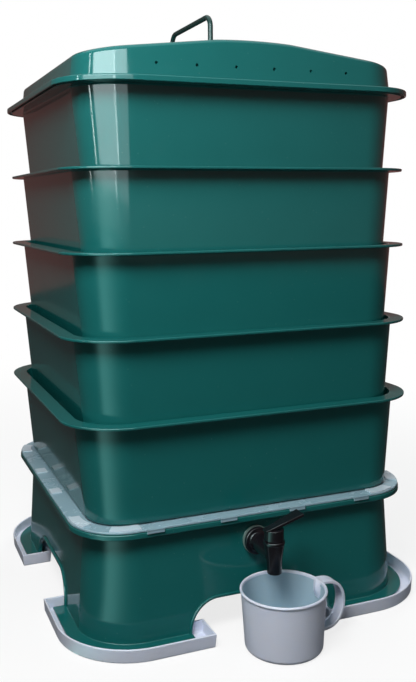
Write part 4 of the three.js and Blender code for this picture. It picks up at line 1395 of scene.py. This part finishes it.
def strap_path():
    """The strap's middle line in its own plane: out by the cosine, up or down by the sine.

    The cosine has a power below 1, which makes the bend fuller.
    """
    t = np.linspace(np.pi / 2, -np.pi / 2, STRAP_STEPS + 1)
    start = CUP_RIM - CUP_WALL / 2
    reach = (cup_high[0] - CUP_X) / np.cos(STRAP_TURN)
    out = start + (reach - STRAP_THICK / 2 - start) * np.abs(np.cos(t)) ** STRAP_FULLNESS
    middle = STRAP_MIDDLE * CUP_HEIGHT
    high = CUP_HEIGHT - STRAP_THICK / 2 - middle
    low = middle - STRAP_FOOT * CUP_HEIGHT
    level = middle + np.where(t > 0, high, low) * np.sin(t)
    way = np.array([np.cos(STRAP_TURN), np.sin(STRAP_TURN)])
    return np.column_stack([CUP_X + out * way[0], CUP_Y + out * way[1], level])


def strap_surface():
    """The strap: a dished section swept along the line, dish outwards."""
    section = dished_section(STRAP_WIDTH, STRAP_THICK, STRAP_EDGE, STRAP_SOFT, STRAP_DISH)
    return swept(strap_path(), (-np.sin(STRAP_TURN), np.cos(STRAP_TURN), 0), section)


print(f"the strap is {STRAP_WIDTH * 1000:.1f} mm wide")

# %% Cup
NEAR_JOINT = 0.8


def painted_shade_faces(mesh):
    """Faces within the middle of the cup's wall, away from the roll and the joint, that get
    painted shade.
    """
    middles = np.empty(len(mesh.polygons) * 3)
    mesh.polygons.foreach_get("center", middles)
    x, y, level = (middles.reshape(-1, 3) - (CUP_X, CUP_Y, 0)).T
    wall_middle = CUP_RIM - CUP_WALL / 2 - CUP_LEAN * (CUP_HEIGHT - level)
    inside = (np.hypot(x, y) < wall_middle) & (level > CUP_WALL / 2) & (level < UNDER_ROLL)
    return inside & (joint_distance(np.arctan2(y, x), level) > NEAR_JOINT)


cup = new_object("cup_shell", [cup_surface(), strap_surface()])
dress(cup, "cup_body", "white_plastic", white_plastic, "cup")
# Painted shade: the inside of the wall, away from the joint, gets the darker finish.
cup.data.materials.append(cup_inside_painted_shade)
inside = painted_shade_faces(cup.data)
cup.data.polygons.foreach_set("material_index", inside.astype(np.int32))
print(f"{inside.sum()} faces have the inside's finish")

# %% [markdown]
# ## Pieces that stay as they are
# The washers, the nut, the plug, its seal and the clips are small and mostly hidden. New
# meshes could be made for them too, but their CAD shapes are right, so they only get their
# finishes.

# %% Finishes on CAD nodes
KEPT = {
    "tap_washer_outer": washer_rubber,
    "tap_washer_inner": washer_rubber,
    "tap_back_nut": black_plastic,
    "tap_plug": black_plastic,
    "tap_o_ring": seal_rubber,
    "lid_handle_clip_front": clip_steel,
    "lid_handle_clip_back": clip_steel,
}
for node, material in KEPT.items():
    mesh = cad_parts[node].data
    mesh.materials.clear()
    mesh.materials.append(material)
print(f"{len(KEPT)} CAD nodes kept")

# %% [markdown]
# ## Light
# A soft lamp near the camera lights the object, brightest at the top left, as in the
# photograph, and lamps above and behind keep the other sides from going dark. The gloss
# shows something else: a window at the front left, the floor in front of it, and dim walls.
# One set of lamps could do both, but then the gloss couldn't be shaped without changing how
# bright a colour looks. So the first lamps are hidden from the gloss, and the windows light
# nothing: they are only mirrored. A strong window would even be mirrored twice, as patches
# on the walls between two rims, so its lamp goes out after a ray's first reflection.

# %% Lamps
WHITE_LIGHT, DAYLIGHT = (1.0, 1.0, 1.0), (0.8, 0.98, 1.0)
# Name, place, aim, size, radiance and colour of each lamp.
LAMPS = (
    ("key", (-0.5, -0.62, 0.98), (0, -0.155, 0.35), (0.5, 0.35), 20.5, WHITE_LIGHT),
    ("top", (0.3, 0.5, 2.4), (0.3, 0.4, 0), (2.0, 2.0), 0.5, DAYLIGHT),
    ("back", (0.95, 1.2, 0.95), (0, 0, 0.35), (1.0, 1.0), 5.0, WHITE_LIGHT),
)


def area_light(name, place, aim, size, radiance, colour):
    """A rectangular lamp of an even radiance: power = pi radiance area, facing the aim."""
    lamp = bpy.data.lights.new(name, "AREA")
    lamp.shape = "RECTANGLE"
    lamp.size, lamp.size_y = size
    lamp.energy = np.pi * radiance * size[0] * size[1]
    lamp.color = colour
    thing = bpy.data.objects.new(name, lamp)
    bpy.context.scene.collection.objects.link(thing)
    away = unit(np.subtract(place, aim))
    side = unit(np.cross((0, 0, 1.0), away))
    turn = Matrix(np.column_stack([side, np.cross(away, side), away]).tolist()).to_4x4()
    thing.matrix_world = Matrix.Translation(place) @ turn
    print(f"{name}: {lamp.energy:.1f} W")
    return thing


for values in LAMPS:
    area_light(*values).visible_glossy = False

# %% Windows
NEAR_CORNER = np.array([-0.15, -0.1, 0])
WINDOW_AWAY = 2.2
# Name, azimuth in degrees, level of the middle, size and radiance of each window.
WINDOWS = (
    ("window_upper", 226, 1.35, (2.24, 0.8), 14.5),
    ("window_lower", 226, 0.58, (2.24, 0.66), 6.5),
    ("window_side_upper", 268, 1.35, (1.16, 0.8), 9.0),
    ("window_side_lower", 268, 0.58, (1.16, 0.66), 2.7),
    ("gap_left", 189, 1.0, (0.04, 1.5), 40.0),
    ("gap_right", 253, 1.0, (0.03, 1.5), 34.0),
)
# A lamp that is mirrored once has a ray depth of 2.
AFTER_FIRST_REFLECTION = 2.5

for name, azimuth, level, size, radiance in WINDOWS:
    turn = np.radians(azimuth)
    aim = NEAR_CORNER + (0, 0, level)
    place = aim + WINDOW_AWAY * np.array([np.cos(turn), np.sin(turn), 0])
    window = area_light(name, place, aim, size, radiance, DAYLIGHT)
    window.visible_diffuse = False
    window.data.use_nodes = True
    tree = window.data.node_tree
    depth = tree.nodes.new("ShaderNodeLightPath").outputs["Ray Depth"]
    feed(tree.nodes["Emission"].inputs["Strength"],
         maths(tree, "LESS_THAN", depth, AFTER_FIRST_REFLECTION))

# %% [markdown]
# ## Room
# Glossy walls mirror what is around them, and in an empty world that is one even grey. A
# furnished room or a picture of one could be put round the object, but a plain curved wall
# is enough: its colour is stored at its points, brightest where the daylight falls on the
# floor and on the sill. Only reflections see it.

# %% Room
ROOM_SPAN = (52, 410)
# From the middle of the floor to its edge, up to the top of the sill, and up the wall.
ROOM_RADIUS = np.array([0.01, 2.6, 2.6, 2.6, 2.6, 2.6])
ROOM_LEVELS = np.array([0.001, 0.001, 0.01, 0.24, 0.26, 3.0])
ROOM_STEPS = 240
WALL_TONE = np.array([0.17, 0.075, 0.07])
FLOOR_TONE = np.array([0.05, 0.045, 0.045])
FLOOR_GLOW = np.array([0.85, 2.1, 1.95])
SILL_GLOW = np.array([1.3, 2.6, 2.4])
FLOOR_PEAK, FLOOR_SOFT = 214, (13, 28)
SILL_PEAK, SILL_SOFT = 222, (26, 46)
UNSEEN_BY = ("camera", "diffuse", "transmission", "volume_scatter", "shadow")


def plain_material(name, kind):
    """A material with one shader of a kind instead of the Principled one."""
    material = bpy.data.materials.new(name)
    material.use_nodes = True
    tree = material.node_tree
    tree.nodes.remove(tree.nodes["Principled BSDF"])
    shader = tree.nodes.new(kind)
    feed(tree.nodes["Material Output"].inputs["Surface"], shader.outputs[0])
    return material, tree, shader


def bell(azimuth, peak, soft):
    """A soft hump round an angle: exp(-((azimuth - peak) / soft)^2), softer on one side."""
    width = np.where(azimuth < peak, *soft)
    return np.exp(-((azimuth - peak) / width) ** 2)


azimuth = np.linspace(*ROOM_SPAN, ROOM_STEPS)[:, None]
turn = np.radians(azimuth)
points = np.stack([ROOM_RADIUS * np.cos(turn), ROOM_RADIUS * np.sin(turn),
                   ROOM_LEVELS + 0 * turn], axis=-1) + NEAR_CORNER
room = new_object("room", [grid(points)])
on_floor = FLOOR_TONE + FLOOR_GLOW * bell(azimuth, FLOOR_PEAK, FLOOR_SOFT)
on_sill = WALL_TONE + SILL_GLOW * bell(azimuth, SILL_PEAK, SILL_SOFT)
above_sill = WALL_TONE + 0 * azimuth
tones = np.stack([on_floor, on_floor, on_sill, on_sill, above_sill, above_sill], axis=1)
tones = np.concatenate([tones, np.ones((*tones.shape[:2], 1))], axis=-1)
glow = room.data.attributes.new("glow", "FLOAT_COLOR", "POINT")
glow.data.foreach_set("color", tones.astype(np.float32).ravel())
room_material, tree, shine = plain_material("room", "ShaderNodeEmission")
room_material.cycles.emission_sampling = "NONE"
tone = add_node(tree, "ShaderNodeAttribute", attribute_name="glow")
feed(shine.inputs["Color"], tone.outputs["Color"])
room.data.materials.append(room_material)
for ray in UNSEEN_BY:
    setattr(room, f"visible_{ray}", False)
print(f"{len(room.data.polygons)} faces of room")

# %% [markdown]
# ## Floor, backdrop and world
# The photograph's background is plain white, and the object's own light shouldn't depend on
# it. A brighter lamp would whiten the floor, but the object as well. So the rays that come
# from the camera, or by a mirror or clear plastic, see a floor and a world that are white,
# and all others see a dim room. The floor fades from painted to glowing away from the
# object, which keeps a soft shadow near it.

# %% Floor
FLOOR_HALF = 6.0
FADE = (0.5, 1.6)
FLOOR_LIFT = 0.8
PAINT_DIM, PAINT_WHITE = (0.15, 0.15, 0.15, 1), (0.94, 0.94, 0.94, 1)


def seen_rays(tree):
    """A mask of the rays that show the backdrop: camera, glossy and transmission rays."""
    path = tree.nodes.new("ShaderNodeLightPath").outputs
    direct = maths(tree, "MAXIMUM", path["Is Camera Ray"], path["Is Glossy Ray"])
    return maths(tree, "MAXIMUM", direct, path["Is Transmission Ray"])


floor_material, tree, glowing = plain_material("floor", "ShaderNodeEmission")
seen = seen_rays(tree)
place = tree.nodes.new("ShaderNodeTexCoord").outputs["Object"]
reach = add_node(tree, "ShaderNodeVectorMath", operation="LENGTH", Vector=place)
fade = range_map(tree, reach.outputs["Value"], interpolation_type="SMOOTHSTEP",
                 From_Min=FADE[0], From_Max=FADE[1], To_Min=FLOOR_LIFT)
painted = add_node(tree, "ShaderNodeBsdfDiffuse",
                   Color=blend(tree, seen, PAINT_DIM, PAINT_WHITE))
surface = tree.nodes.new("ShaderNodeMixShader")
parts = (maths(tree, "MULTIPLY", fade, seen), painted.outputs["BSDF"],
         glowing.outputs["Emission"])
for socket, value in zip(surface.inputs, parts):
    feed(socket, value)
feed(tree.nodes["Material Output"].inputs["Surface"], surface.outputs["Shader"])
corners = FLOOR_HALF * np.array([[[-1, -1, 0], [1, -1, 0]], [[-1, 1, 0], [1, 1, 0]]])
floor = new_object("floor", [grid(corners)])
floor.data.materials.append(floor_material)
print(f"white from {FADE[1]} m on")

# %% World
ROOM_LIGHT = 0.13

world = bpy.data.worlds.new("studio")
bpy.context.scene.world = world
world.use_nodes = True
tree = world.node_tree
background = tree.nodes["Background"].inputs
feed(background["Color"], (1, 1, 1, 1))
feed(background["Strength"],
     range_map(tree, seen_rays(tree), To_Min=ROOM_LIGHT, To_Max=1.0))
bpy.context.scene.view_settings.view_transform = "Standard"
print(f"room light {ROOM_LIGHT}")
